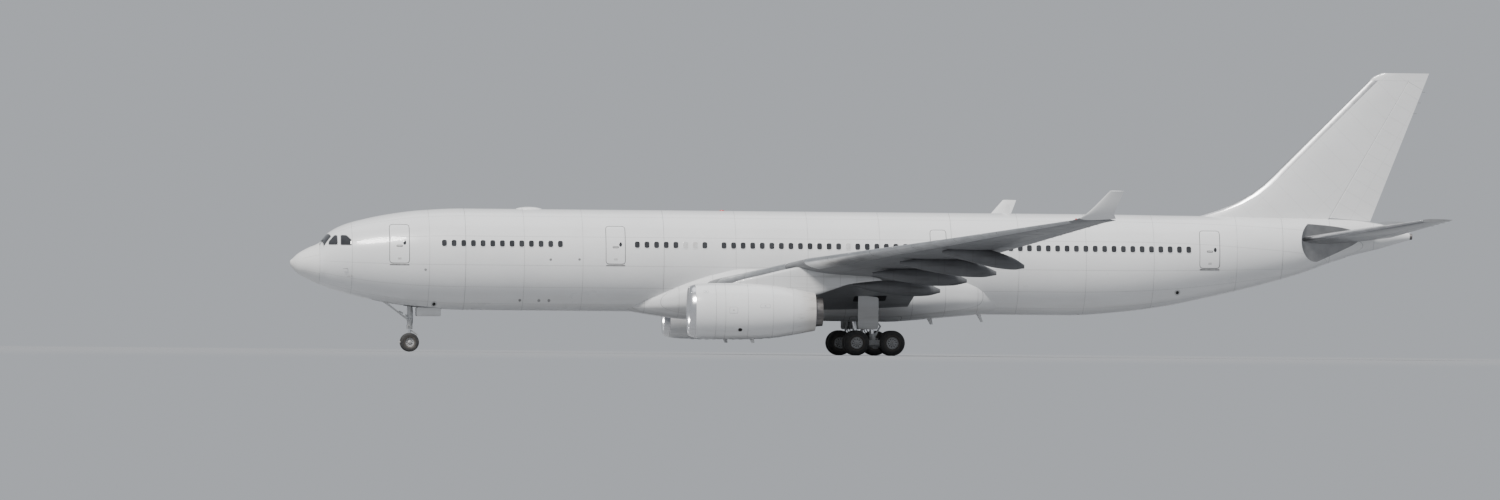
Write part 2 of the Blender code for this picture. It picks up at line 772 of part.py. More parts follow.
def make_engine(word, sign):
    """A long-duct engine: cowls, fan, core block with its nozzle and plug, and the pylon."""
    axis = at(0, sign * ENGINE_SIDE, ENGINE_HEIGHT)
    centre = at(FAN_STATION, sign * ENGINE_SIDE, ENGINE_HEIGHT)
    wing = wing_solid("wing_form", WING, sign, SEAT)

    inlet = turned("inlet", COWL_OUTER[:1] + INLET_LIP + ((INLET_END, DUCT_RADIUS),), axis)
    finished("inlet_cowl_" + word, inlet, PAINT)
    seam = INLET_END + SEAT
    slot = pylon_solid("slot", sign, SEAT)
    fan_cowl = turned("fan_cowl", ((seam, COWL_OUTER[0][1]), *COWL_OUTER[1:3], (FAN_COWL_END, FAN_DUCT),
                                   (seam, FAN_DUCT)), axis)
    finished("fan_cowl_" + word, cut(fan_cowl, slot, keep_tool=True), PAINT)
    seam = FAN_COWL_END + SEAT
    aft = turned("aft", ((seam, COWL_OUTER[2][1]), *COWL_OUTER[3:], *AFT_DUCT[:2], (seam, AFT_DUCT[2][1])), axis)
    finished("aft_cowl_" + word, cut(aft, slot, keep_tool=True), PAINT)

    core = turned("core", CORE, axis, sides=20)
    cut(core, slot)
    start = at(CORE[0][0] - 0.1, sign * ENGINE_SIDE, ENGINE_HEIGHT)
    end = at(CORE[0][0] + SHAFT_DEPTH + 0.02, sign * ENGINE_SIDE, ENGINE_HEIGHT)
    cut(core, bore("shaft_hole", start, end, SHAFT_RADIUS, AXLE_SIDES))
    finished("engine_core_" + word, core, TITANIUM)

    fan = turned("fan", SPINNER, axis, sides=AXLE_SIDES)
    join(fan, blade_solids(centre))
    finished("fan_" + word, fan, DARK_METAL, pivot=centre)

    pylon = cut(pylon_solid("pylon", sign), wing)
    finished("pylon_" + word, pylon, PAINT)


# Landing gear

WHEEL_FACE = ((0.34, 0.00), (0.34, 0.46), (1.00, 0.74), (0.80, 0.94), (0.40, 1.00))


def tyre_and_rim(name, centre, size):
    """A wheel turned about a crosswise axis, as one solid from its rim's face to its tread."""
    radius, half = size
    face = [(a * half, r * radius) for a, r in WHEEL_FACE]
    profile = [(-a, r) for a, r in face] + [(a, r) for a, r in reversed(face)]
    return turned(name, profile, centre, "Y", TYRE_SIDES)


def wheel_pair(name, station, side, height, size, twin, axle_radius):
    """Two wheels on one axle, a body that turns about the axle."""
    middle = at(station, side, height)
    half = (twin / 2 + size[1] * 0.2)
    pair = rod(name, at(station, side - half, height), at(station, side + half, height), axle_radius,
               sides=AXLE_SIDES)
    for step in (-0.5, 0.5):
        join(pair, tyre_and_rim("wheel", at(station, side + step * twin, height), size))
    finished(name, pair, RUBBER, pivot=middle)


AXLE_RADIUS = 0.085
BEAM_HALF = 0.19
MAIN_LEG_TOP = (31.62, -1.60)
MAIN_LEG_RADII = (0.22, 0.13)
SLEEVE_END = 0.45
BRACE_FOOT = (0.42, 0.10)
BRACE_HEAD = (31.10, 3.10, -2.10)
DOOR_FRONT_BACK = (31.15, 32.30)
DOOR_LOW_HIGH = (-3.75, -1.50)
DOOR_THICKNESS = 0.06


def make_main_gear(word, sign):
    """A main leg with its side brace, its bogie beam, two wheel pairs and the door on the leg."""
    side = sign * MAIN_SIDE
    axle_height = GROUND + MAIN_TYRE[0]
    pivot = at(MAIN_STATION, side, axle_height)
    top = at(MAIN_LEG_TOP[0], side, MAIN_LEG_TOP[1])
    sleeve_end = top.lerp(pivot, 1 - SLEEVE_END)
    leg = rod("leg", top, sleeve_end, MAIN_LEG_RADII[0])
    join(leg, rod("piston", top.lerp(pivot, 0.3), pivot, MAIN_LEG_RADII[1]))
    brace_foot = top.lerp(pivot, BRACE_FOOT[0])
    brace_head = at(BRACE_HEAD[0], sign * BRACE_HEAD[1], BRACE_HEAD[2])
    join(leg, rod("brace", brace_foot, brace_head, BRACE_FOOT[1], sides=12))

    beam_end = MAIN_AXLES / 2 + BEAM_HALF
    beam = block("beam", (MAIN_STATION - beam_end, side - BEAM_HALF, axle_height - BEAM_HALF),
                 (MAIN_STATION + beam_end, side + BEAM_HALF, axle_height + BEAM_HALF))
    socket_top = top.lerp(pivot, 0.8)
    cut(beam, bore("socket", socket_top, pivot + (pivot - top).normalized() * SEAT * SCALE, MAIN_LEG_RADII[1], 16))
    for place, step in (("front", -0.5), ("rear", 0.5)):
        station = MAIN_STATION + step * MAIN_AXLES
        hole = bore("hole", at(station, side - 0.5, axle_height), at(station, side + 0.5, axle_height),
                    AXLE_RADIUS, AXLE_SIDES)
        cut(beam, hole)
        wheel_pair("main_wheels_%s_%s" % (place, word), station, side, axle_height, MAIN_TYRE, MAIN_TWIN,
                   AXLE_RADIUS)
    finished("bogie_beam_" + word, beam, GEAR_GREY)

    outer = side + sign * (MAIN_LEG_RADII[0] + SEAT)
    y0, y1 = sorted((outer, outer + sign * DOOR_THICKNESS))
    door = block("door", (DOOR_FRONT_BACK[0], y0, DOOR_LOW_HIGH[0]), (DOOR_FRONT_BACK[1], y1, DOOR_LOW_HIGH[1]))
    for piece in (leg, door):
        cut(piece, wing_solid("wing_form", WING, sign, SEAT))
        cut(piece, belly_solid("belly", SEAT))
        cut(piece, hull())
    finished("main_leg_" + word, leg, GEAR_GREY)
    finished("main_leg_door_" + word, door, PAINT)


NOSE_LEG_RADII = (0.15, 0.095)
NOSE_SLEEVE_END = -3.90
NOSE_PISTON_TOP = -3.45
NOSE_AXLE_RADIUS = 0.06
TOW_FRONT = 0.60
NOSE_BRACE = (5.20, -2.30, -3.55)
NOSE_DOOR = ((7.00, 8.40), 0.52, -3.20)


def make_nose_gear():
    """The nose leg, the steered lower leg with its towing lug, the wheel pair and the two doors."""
    axle_height = GROUND + NOSE_TYRE[0]
    sleeve_foot = at(NOSE_STATION, 0, NOSE_SLEEVE_END)
    leg = rod("nose_leg", at(NOSE_STATION, 0, -2.2), sleeve_foot, NOSE_LEG_RADII[0])
    brace_station, brace_high, brace_low = NOSE_BRACE
    join(leg, rod("brace", at(NOSE_STATION, 0, brace_low), at(brace_station, 0, brace_high), 0.08, sides=12))
    piston_top = at(NOSE_STATION, 0, NOSE_PISTON_TOP)
    below = at(NOSE_STATION, 0, NOSE_SLEEVE_END - 0.1)
    cut(leg, bore("socket", piston_top + Vector((0, 0, SEAT * SCALE)), below, NOSE_LEG_RADII[1], AXLE_SIDES))
    cut(leg, hull())
    finished("nose_leg", leg, GEAR_GREY)

    foot = at(NOSE_STATION, 0, axle_height - 0.16)
    steered = rod("steered", piston_top, foot, NOSE_LEG_RADII[1], sides=AXLE_SIDES)
    join(steered, block("hub", (NOSE_STATION - 0.14, -0.13, axle_height - 0.14),
                        (NOSE_STATION + 0.14, 0.13, axle_height + 0.14)))
    join(steered, block("lug", (NOSE_STATION - TOW_FRONT, -0.06, axle_height - 0.05),
                        (NOSE_STATION - 0.05, 0.06, axle_height + 0.07)))
    cut(steered, bore("hole", at(NOSE_STATION, -0.4, axle_height), at(NOSE_STATION, 0.4, axle_height),
                      NOSE_AXLE_RADIUS, AXLE_SIDES))
    finished("nose_steered_leg", steered, GEAR_GREY, pivot=at(NOSE_STATION, 0, NOSE_SLEEVE_END))
    wheel_pair("nose_wheels", NOSE_STATION, 0, axle_height, NOSE_TYRE, NOSE_TWIN, NOSE_AXLE_RADIUS)

    (front, back), out, low = NOSE_DOOR
    for word, sign in SIDES:
        y0, y1 = sorted((sign * out, sign * (out + DOOR_THICKNESS)))
        door = cut(block("door", (front, y0, low), (back, y1, -2.2)), hull())
        finished("nose_gear_door_" + word, door, PAINT)


make_fuselage()
make_tailplane()
rudder_hole = make_fin()
cut(bpy.data.objects["tail_cone"], rudder_hole)
for side_word, side_sign in SIDES:
    make_wing(side_word, side_sign)
    make_engine(side_word, side_sign)
    make_main_gear(side_word, side_sign)
make_nose_gear()
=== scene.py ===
"""The looks of the wide body airliner, a half-scale model that stands on its landing gear.

Every size below is the full-size aircraft's, in metres. A point is given as a station (metres aft
of the nose tip), a side (metres to starboard of the middle) and a height (metres above the
fuselage's centre line). The function at() brings such a point to the model's frame, in which the
nose points to -X, starboard is +Y and the ground is at zero.
"""
from math import acos, asin, ceil, copysign, cos, dist, pi, radians, sin, sqrt

import bmesh
import bpy
import numpy
from mathutils import Matrix, Quaternion, Vector


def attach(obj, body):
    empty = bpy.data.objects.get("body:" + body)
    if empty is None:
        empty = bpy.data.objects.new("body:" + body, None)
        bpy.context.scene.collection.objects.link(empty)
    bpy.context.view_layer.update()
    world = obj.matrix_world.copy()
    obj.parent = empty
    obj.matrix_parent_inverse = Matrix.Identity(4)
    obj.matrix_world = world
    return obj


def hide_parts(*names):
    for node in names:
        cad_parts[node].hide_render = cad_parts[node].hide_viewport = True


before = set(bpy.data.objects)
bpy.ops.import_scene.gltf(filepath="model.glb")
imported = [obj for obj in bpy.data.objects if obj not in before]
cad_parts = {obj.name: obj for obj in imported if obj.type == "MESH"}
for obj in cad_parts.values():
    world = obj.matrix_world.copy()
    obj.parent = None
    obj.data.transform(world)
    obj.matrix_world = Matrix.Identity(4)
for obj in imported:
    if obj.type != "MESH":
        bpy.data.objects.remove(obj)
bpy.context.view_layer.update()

# The model's scale and stance, as the CAD has them
SCALE = 0.5
LENGTH = 63.689
CENTRE_HEIGHT = 5.15
GROUND = -CENTRE_HEIGHT
SIDES = (("left", -1), ("right", 1))
SCENE = bpy.context.scene.collection


def at(station, side, height):
    """Bring a point of the full-size aircraft to the model's frame."""
    return Vector(((station - LENGTH / 2) * SCALE, side * SCALE, (height + CENTRE_HEIGHT) * SCALE))


# Camera, floor and light

PHOTO_WIDTH = 1500
PHOTO_METRE = 0.05558
VIEW_CENTRE = (25.59, 0.66)
VIEW_DISTANCE = 900.0
VIEW_YAW = 4.6
VIEW_ROLL = 0.496
EYE_HEIGHT = 0.3
SENSOR = 36.0


def make_camera():
    """A long lens at floor level, off the port side and a little ahead, as the photograph was taken."""
    station, height = VIEW_CENTRE
    target = at(station, 0, height)
    yaw = radians(VIEW_YAW)
    away = Vector((-sin(yaw), -cos(yaw), 0)) * VIEW_DISTANCE * SCALE
    data = bpy.data.cameras.new("camera")
    data.sensor_width = SENSOR
    data.lens = SENSOR * VIEW_DISTANCE / (PHOTO_WIDTH * PHOTO_METRE)
    data.clip_start = 10.0
    data.clip_end = 2000.0
    camera = bpy.data.objects.new("camera", data)
    camera.location = (target.x + away.x, away.y, EYE_HEIGHT)
    camera.rotation_mode = "QUATERNION"
    aim = (target - camera.location).to_track_quat("-Z", "Y")
    camera.rotation_quaternion = aim @ Quaternion((0, 0, 1), radians(VIEW_ROLL))
    SCENE.objects.link(camera)
    bpy.context.scene.camera = camera


def lamp(name, colour, strength, softness, azimuth, elevation):
    """A far lamp whose light comes from an azimuth and elevation, as wide as softness in degrees."""
    data = bpy.data.lights.new(name, "SUN")
    data.color = colour
    data.energy = strength
    data.angle = radians(softness)
    turn, rise = radians(azimuth), radians(elevation)
    towards = Vector((sin(turn) * cos(rise), -cos(turn) * cos(rise), sin(rise)))
    obj = bpy.data.objects.new(name, data)
    obj.rotation_mode = "QUATERNION"
    obj.rotation_quaternion = towards.to_track_quat("Z", "Y")
    SCENE.objects.link(obj)


STUDIO = (0.44, 0.46, 0.49)
FLOOR_REACH = 400.0
FLOOR_FADE = (45.0, 190.0)


def make_stage():
    """The pale floor, which fades into an even studio, and the soft lamps."""
    world = bpy.data.worlds.new("studio")
    bpy.context.scene.world = world
    world.use_nodes = True
    backdrop = world.node_tree.nodes["Background"]
    backdrop.inputs["Color"].default_value = (*STUDIO, 1)
    backdrop.inputs["Strength"].default_value = 1.0
    lamp("key_light", (1.0, 0.98, 0.95), 4.2, 16, -28, 50)
    lamp("top_light", (0.95, 0.97, 1.0), 0.7, 50, 160, 72)

    bm = bmesh.new()
    bmesh.ops.create_grid(bm, x_segments=8, y_segments=8, size=FLOOR_REACH)
    mesh = bpy.data.meshes.new("floor")
    bm.to_mesh(mesh)
    bm.free()
    floor = bpy.data.objects.new("floor", mesh)
    floor.location.z = -0.002
    SCENE.objects.link(floor)
    mesh.materials.append(floor_finish())


# Shader maths

class Wire:
    """A node's output, on which Python's signs add Math nodes to the node's tree."""

    def __init__(self, tree, made, output=0):
        self.tree = tree
        self.made = made
        self.socket = made.outputs[output]

    @classmethod
    def add(cls, tree, kind, settings=None, inputs=None):
        """Any node: its settings come first, then its sockets' values or links."""
        made = tree.nodes.new(kind)
        for key, value in (settings or {}).items():
            if key == "stops":
                fill_ramp(made.color_ramp, value)
            else:
                setattr(made, key, value)
        for key, value in (inputs or {}).items():
            if isinstance(value, Wire):
                tree.links.new(value.socket, made.inputs[key])
            else:
                made.inputs[key].default_value = value
        return cls(tree, made)

    def out(self, name):
        return Wire(self.tree, self.made, name)

    def math(self, operation, *others):
        wires = dict(enumerate((self, *others)))
        return Wire.add(self.tree, "ShaderNodeMath", {"operation": operation}, wires)

    def __add__(self, other):
        return self.math("ADD", other)

    __radd__ = __add__

    def __mul__(self, other):
        return self.math("MULTIPLY", other)

    __rmul__ = __mul__

    def __sub__(self, other):
        return self.math("SUBTRACT", other)

    def __rsub__(self, other):
        return self.math("MULTIPLY", -1.0) + other

    def __truediv__(self, other):
        return self.math("DIVIDE", other)

    def __mod__(self, other):
        return self.math("FLOORED_MODULO", other)

    def __gt__(self, other):
        return self.math("GREATER_THAN", other)

    def __lt__(self, other):
        return self.math("LESS_THAN", other)

    def __abs__(self):
        return self.math("ABSOLUTE")

    def least(self, other):
        return self.math("MINIMUM", other)

    def most(self, other):
        return self.math("MAXIMUM", other)

    def step(self, low, high):
        """Rises smoothly from 0 at low to 1 at high, or falls if high is the smaller."""
        ends = {"From Min": min(low, high), "From Max": max(low, high)}
        if high < low:
            ends.update({"To Min": 1.0, "To Max": 0.0})
        return Wire.add(self.tree, "ShaderNodeMapRange", {"interpolation_type": "SMOOTHSTEP"},
                        {"Value": self, **ends})


def fill_ramp(ramp, stops):
    """Set a colour ramp's stops, each a place and a colour."""
    while len(ramp.elements) > 1:
        ramp.elements.remove(ramp.elements[-1])
    for i, (place, colour) in enumerate(stops):
        stop = ramp.elements[0] if i == 0 else ramp.elements.new(place)
        stop.position = place
        stop.color = (*colour, 1)


class Finish:
    """A material in the making: its shader, the aircraft's own coordinates and a few patterns."""

    def __init__(self, name, roughness=0.5, metallic=0.0, coat=0.0):
        self.material = bpy.data.materials.new(name)
        self.material.use_nodes = True
        self.tree = self.material.node_tree
        self.shader = self.tree.nodes["Principled BSDF"]
        self.shader.inputs["Roughness"].default_value = roughness
        self.shader.inputs["Metallic"].default_value = metallic
        self.shader.inputs["Coat Weight"].default_value = coat
        self.place = self.add("ShaderNodeTexCoord").out("Object")
        split = self.add("ShaderNodeSeparateXYZ", None, {"Vector": self.place})
        self.station = split.out("X") / SCALE + LENGTH / 2
        self.side = split.out("Y") / SCALE
        self.height = split.out("Z") / SCALE - CENTRE_HEIGHT

    def add(self, kind, settings=None, inputs=None):
        return Wire.add(self.tree, kind, settings, inputs)

    def noise(self, size, stretch=(1, 1, 1), detail=3.0, roughness=0.5):
        """Noise whose lumps are about as big as size, in full-size metres, stretched along the axes."""
        scaled = self.add("ShaderNodeVectorMath", {"operation": "MULTIPLY"},
                          {0: self.place, 1: [1 / (s * size * SCALE) for s in stretch]})
        return self.add("ShaderNodeTexNoise", None,
                        {"Vector": scaled, "Scale": 1.0, "Detail": detail, "Roughness": roughness})

    def flecks(self, size, stretch=(1, 1, 1)):
        """Distance to the nearest of scattered points about a size apart."""
        scaled = self.add("ShaderNodeVectorMath", {"operation": "MULTIPLY"},
                          {0: self.place, 1: [1 / (s * size * SCALE) for s in stretch]})
        return self.add("ShaderNodeTexVoronoi", None, {"Vector": scaled, "Scale": 1.0}).out("Distance")

    def mix(self, share, first, second):
        """Blend two colours, each a plain colour or a wire."""
        ends = [(*c, 1) if isinstance(c, tuple) else c for c in (first, second)]
        blend = self.add("ShaderNodeMix", {"data_type": "RGBA"}, {0: share, 6: ends[0], 7: ends[1]})
        return blend.out(2)

    def colour(self, wire):
        self.tree.links.new(wire.socket, self.shader.inputs["Base Color"])

    def roughness(self, wire):
        self.tree.links.new(wire.socket, self.shader.inputs["Roughness"])

    def bump(self, height, depth, strength=1.0):
        """Raise the surface by a height wire times a depth in full-size metres."""
        made = self.add("ShaderNodeBump", None,
                        {"Height": height, "Distance": depth * SCALE, "Strength": strength})
        self.tree.links.new(made.socket, self.shader.inputs["Normal"])


def every(value, pitch, start=0.0):
    """The distance from a value to the nearest of evenly spaced lines."""
    return abs((value - (start - pitch / 2)) % pitch - pitch / 2)


def nearest(value, places):
    """The distance from a value to the nearest of some given lines."""
    best = abs(value - places[0])
    for place in places[1:]:
        best = best.least(abs(value - place))
    return best


def floor_finish():
    """Pale, faintly mottled flooring that turns clear far from the aircraft."""
    made = Finish("floor_finish", roughness=0.6)
    made.colour(made.mix(made.noise(6.0), (0.277, 0.284, 0.296), (0.306, 0.313, 0.326)))
    made.shader.inputs["Specular IOR Level"].default_value = 0.0
    away = made.add("ShaderNodeVectorMath", {"operation": "LENGTH"}, {0: made.place}).out("Value")
    fade = away.step(*FLOOR_FADE)
    clear = made.add("ShaderNodeBsdfTransparent")
    ends = {0: fade, 1: Wire(made.tree, made.shader), 2: clear}
    blend = made.add("ShaderNodeMixShader", None, ends)
    output = made.tree.nodes["Material Output"]
    made.tree.links.new(blend.socket, output.inputs["Surface"])
    return made.material


# Making pieces

MERGE = 0.00002


class Flow:
    """A smooth curve through rows of values at rising knots, which never overshoots them."""

    def __init__(self, knots, rows):
        self.knots = numpy.array(knots, float)
        self.rows = numpy.array(rows, float).reshape(len(knots), -1)
        step = numpy.diff(self.knots)[:, None]
        slope = numpy.diff(self.rows, axis=0) / step
        near, far = 2 * step[1:] + step[:-1], step[1:] + 2 * step[:-1]
        same_way = slope[:-1] * slope[1:] > 0
        safe = numpy.where(same_way, slope[:-1], 1), numpy.where(same_way, slope[1:], 1)
        mean = (near + far) / (near / safe[0] + far / safe[1])
        self.slopes = numpy.vstack((slope[:1], numpy.where(same_way, mean, 0), slope[-1:]))

    def __call__(self, where):
        where = min(max(where, self.knots[0]), self.knots[-1])
        i = int(numpy.searchsorted(self.knots[1:-1], where, side="right"))
        step = self.knots[i + 1] - self.knots[i]
        t = (where - self.knots[i]) / step
        rise = t * t * (3 - 2 * t)
        near = self.slopes[i] * step * t * (1 - t) ** 2
        far = self.slopes[i + 1] * step * t * t * (t - 1)
        return self.rows[i] * (1 - rise) + self.rows[i + 1] * rise + near + far


def piece(name, bm, finish, slot=None, replaces=(), body="airframe", sharp=32, bevel=0.0, carve=None):
    """Make a bmesh one of the scene's pieces, which rides on a body of the CAD."""
    bmesh.ops.remove_doubles(bm, verts=bm.verts, dist=MERGE)
    bmesh.ops.recalc_face_normals(bm, faces=bm.faces)
    mesh = bpy.data.meshes.new(name)
    bm.to_mesh(mesh)
    bm.free()
    mesh.materials.append(finish)
    mesh.shade_smooth()
    mesh.set_sharp_from_angle(angle=radians(sharp))
    obj = bpy.data.objects.new(name, mesh)
    SCENE.objects.link(obj)
    if bevel:
        edge = obj.modifiers.new("edge", "BEVEL")
        edge.width = bevel * SCALE
        edge.segments = 2
        edge.limit_method = "ANGLE"
        edge.angle_limit = radians(50)
        edge.harden_normals = True
    if carve:
        carved(obj, *carve)
    return attached(obj, body, slot, replaces)


def carved(obj, tool_shape, finish):
    """Cut a shape out of an object; the cut's faces take a finish of their own."""
    bmesh.ops.recalc_face_normals(tool_shape, faces=tool_shape.faces)
    mesh = bpy.data.meshes.new("tool")
    tool_shape.to_mesh(mesh)
    tool_shape.free()
    mesh.materials.append(finish)
    tool = bpy.data.objects.new("tool", mesh)
    SCENE.objects.link(tool)
    cut = obj.modifiers.new("cut", "BOOLEAN")
    cut.operation = "DIFFERENCE"
    cut.solver = "EXACT"
    cut.material_mode = "TRANSFER"
    cut.object = tool
    baked(obj)
    bpy.data.objects.remove(tool)


def baked(obj):
    """Turn an object's modifiers into plain mesh."""
    bpy.context.view_layer.update()
    shown = obj.evaluated_get(bpy.context.evaluated_depsgraph_get())
    whole = bpy.data.meshes.new_from_object(shown)
    obj.modifiers.clear()
    obj.data = whole


def attached(obj, body, slot=None, replaces=()):
    """Hang a finished object on its body and hide the CAD nodes that it stands for; its slot is not used.
    """
    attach(obj, body)
    if replaces:
        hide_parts(*replaces)
    return obj


def skin(bm, rows, around=False, ends=False, back_to_start=False):
    """Faces over rows of points that all have the same count."""
    made = [[bm.verts.new(point) for point in row] for row in rows]
    if back_to_start:
        made.append(made[0])
    count = len(made[0])
    for near, far in zip(made, made[1:]):
        for i in range(count if around else count - 1):
            j = (i + 1) % count
            bm.faces.new((near[i], near[j], far[j], far[i]))
    if ends:
        bm.faces.new(made[0])
        bm.faces.new(list(reversed(made[-1])))
    return bm


def loft(bm, rows):
    """A closed solid through rings of points."""
    return skin(bm, rows, around=True, ends=True)


def steps(start, end, count):
    return [start + (end - start) * i / count for i in range(count + 1)]


def full_turn(count):
    """Evenly spaced angles around a circle."""
    return steps(0, 2 * pi, count)[:-1]


def ring(centre, across, up, radius, sides):
    """A circle of points about a centre, on two crosswise directions of length one."""
    return [centre + (across * cos(t) + up * sin(t)) * radius * SCALE for t in full_turn(sides)]


def crosswise(direction):
    """Two directions square to a given one and to each other."""
    other = Vector((0, 1, 0)) if abs(direction.z) > 0.9 else Vector((0, 0, 1))
    across = direction.cross(other).normalized()
    return across, direction.cross(across).normalized()


def turned(bm, profile, centre, direction, sides, closed=True):
    """Turn a profile of (distance along, radius) about an axis through a point."""
    across, up = crosswise(direction)
    rows = [ring(centre + direction * a * SCALE, across, up, r, sides) for a, r in profile]
    return skin(bm, rows, around=True, back_to_start=closed)


def rod(bm, start, end, radius, end_radius=None, sides=20, rim=0.008):
    """A round bar between two points of the model's frame, with chamfered rims."""
    end_radius = radius if end_radius is None else end_radius
    run = end - start
    length = run.length / SCALE
    profile = ((0, 0), (0, radius - rim), (rim, radius), (length - rim, end_radius),
               (length, end_radius - rim), (length, 0))
    return turned(bm, profile, start, run.normalized(), sides, closed=False)


def tube(bm, path, radius, sides=8):
    """A round tube along a path of points."""
    rows = []
    across = None
    for i, point in enumerate(path):
        run = (path[min(i + 1, len(path) - 1)] - path[max(i - 1, 0)]).normalized()
        if across is None:
            across = crosswise(run)[0]
        across = (across - run * across.dot(run)).normalized()
        rows.append(ring(point, across, run.cross(across), radius, sides))
    return loft(bm, rows)


def curved(points, count=6):
    """A smooth path through a few points, as Catmull and Rom draw it."""
    points = [2 * points[0] - points[1], *points, 2 * points[-1] - points[-2]]
    path = []
    for a, b, c, d in zip(points, points[1:], points[2:], points[3:]):
        for i in range(count):
            t = i / count
            path.append(0.5 * (2 * b + (c - a) * t + (2 * a - 5 * b + 4 * c - d) * t ** 2
                               + (3 * b - a - 3 * c + d) * t ** 3))
    return path + [points[-2]]


# Repeating a small shape over points

def repeat_tree():
    """A tree that sets a shape on every point, turned by the point's outward and along directions."""
    tree = bpy.data.node_groups.new("repeat_on_points", "GeometryNodeTree")
    sockets = tree.interface
    sockets.new_socket("Geometry", in_out="INPUT", socket_type="NodeSocketGeometry")
    sockets.new_socket("Shape", in_out="INPUT", socket_type="NodeSocketObject")
    sockets.new_socket("Size", in_out="INPUT", socket_type="NodeSocketFloat")
    sockets.new_socket("Finish", in_out="INPUT", socket_type="NodeSocketMaterial")
    sockets.new_socket("Geometry", in_out="OUTPUT", socket_type="NodeSocketGeometry")
    given = Wire.add(tree, "NodeGroupInput")
    shape = Wire.add(tree, "GeometryNodeObjectInfo", None, {"Object": given.out("Shape")})
    ways = [Wire.add(tree, "GeometryNodeInputNamedAttribute", {"data_type": "FLOAT_VECTOR"},
                     {"Name": name}).out("Attribute") for name in ("outward", "along")]
    upright = Wire.add(tree, "FunctionNodeAlignRotationToVector", {"axis": "Z"}, {"Vector": ways[0]})
    facing = Wire.add(tree, "FunctionNodeAlignRotationToVector", {"axis": "X", "pivot_axis": "Z"},
                      {"Rotation": upright, "Vector": ways[1]})
    spread = Wire.add(tree, "GeometryNodeInstanceOnPoints", None,
                      {"Points": given.out("Geometry"), "Instance": shape.out("Geometry"),
                       "Rotation": facing, "Scale": given.out("Size")})
    whole = Wire.add(tree, "GeometryNodeRealizeInstances", None, {"Geometry": spread})
    dressed = Wire.add(tree, "GeometryNodeSetMaterial", None,
                       {"Geometry": whole, "Material": given.out("Finish")})
    output = tree.nodes.new("NodeGroupOutput")
    tree.links.new(dressed.socket, output.inputs["Geometry"])
    return tree


REPEAT = repeat_tree()


def repeated(name, shape, spots, finish, slot=None, replaces=(), body="airframe", sharp=32):
    """Set a small shape on each spot, a (point, outward, along) triple, as one piece."""
    pattern = bpy.data.meshes.new(name + "_pattern")
    bmesh.ops.recalc_face_normals(shape, faces=shape.faces)
    shape.to_mesh(pattern)
    shape.free()
    pattern.shade_smooth()
    pattern.set_sharp_from_angle(angle=radians(sharp))
    model = bpy.data.objects.new(name + "_pattern", pattern)
    mesh = bpy.data.meshes.new(name)
    mesh.from_pydata([spot[0] for spot in spots], [], [])
    for i, way in ((1, "outward"), (2, "along")):
        layer = mesh.attributes.new(way, "FLOAT_VECTOR", "POINT")
        layer.data.foreach_set("vector", [part for spot in spots for part in spot[i]])
    obj = bpy.data.objects.new(name, mesh)
    SCENE.objects.link(obj)
    made = obj.modifiers.new("repeat", "NODES")
    made.node_group = REPEAT
    inputs = {item.name: item.identifier for item in REPEAT.interface.items_tree if item.in_out == "INPUT"}
    made[inputs["Shape"]] = model
    made[inputs["Size"]] = 1.0
    made[inputs["Finish"]] = finish
    baked(obj)
    obj.data.name = name
    bpy.data.objects.remove(model)
    return attached(obj, body, slot, replaces)


# Finishes

def line(distance, width):
    """1 on a thin line where a distance is nought, and 0 away from it."""
    return distance.step(width, width * 0.4)


def dot(across, along, radius):
    """1 on a small disc where both distances are nought."""
    return (across * across + along * along).step(radius ** 2, 0.3 * radius ** 2)


class Coating(Finish):
    """A finish built up in coats: a base tone, then clouds, soil, lines and relief."""

    def __init__(self, name, tone, roughness, metallic=0.0, coat=0.0):
        super().__init__(name, roughness, metallic, coat)
        self.tone = tone
        self.gloss = roughness
        self.relief = 0.0

    def shade(self, share, tone):
        self.tone = self.mix(share, self.tone, tone)
        return self

    def clouds(self, size, tone, share=0.5, stretch=(1, 1, 1), ends=(0.35, 0.7)):
        """Blend in another tone in soft patches."""
        return self.shade(self.noise(size, stretch).step(*ends) * share, tone)

    def dull(self, share, amount):
        self.gloss = share * amount + self.gloss
        return self

    def smears(self, size, amount, stretch=(1, 1, 1)):
        """Rougher and smoother patches, as handling and weather leave them."""
        return self.dull(self.noise(size, stretch, 4.0), amount)

    def emboss(self, share, rise):
        self.relief = share * rise + self.relief
        return self

    def seams(self, share, tone, depth=0.003):
        """Sunk lines that hold a darker tone."""
        return self.shade(share * 0.75, tone).emboss(share, -depth)

    def rivets(self, share, tone, rise=0.001):
        return self.shade(share * 0.35, tone).emboss(share, rise)

    def grain(self, size, rise, stretch=(1, 1, 1)):
        """A fine uneven surface, such as orange peel in paint or a brushed finish in metal."""
        return self.emboss(self.noise(size, stretch, 2.0), rise)

    def done(self):
        if isinstance(self.tone, Wire):
            self.colour(self.tone)
        if isinstance(self.gloss, Wire):
            self.roughness(self.gloss)
        if isinstance(self.relief, Wire):
            self.bump(self.relief, 1.0)
        return self.material


WHITE = (0.80, 0.805, 0.81)
GREYED_WHITE = (0.66, 0.65, 0.62)
SEAM_TONE = (0.34, 0.34, 0.34)
HULL_RADIUS = 2.82
HULL_RINGS = (3.35, 7.60, 9.60, 12.85, 16.10, 20.60, 24.60, 28.60, 32.60, 36.60, 40.35, 44.10, 47.90, 52.60,
              55.20, 57.90, 60.40)
HULL_LAPS = (1.55, 3.10, 4.75, 6.05, 7.40)
RIVET_PITCH = 0.14


def white_paint(name, roughness=0.24, coat=0.5, tone=WHITE):
    """Gloss white over metal: faint clouds, a little soil drawn aft, orange peel under the gloss."""
    made = Coating(name, tone, roughness, coat=coat)
    made.clouds(2.6, tuple(0.955 * c for c in tone), 0.8)
    made.clouds(0.35, GREYED_WHITE, 0.10, (5, 1, 1), (0.5, 0.8))
    made.smears(0.8, 0.10, (2, 1, 1))
    made.grain(0.012, 0.00012)
    return made


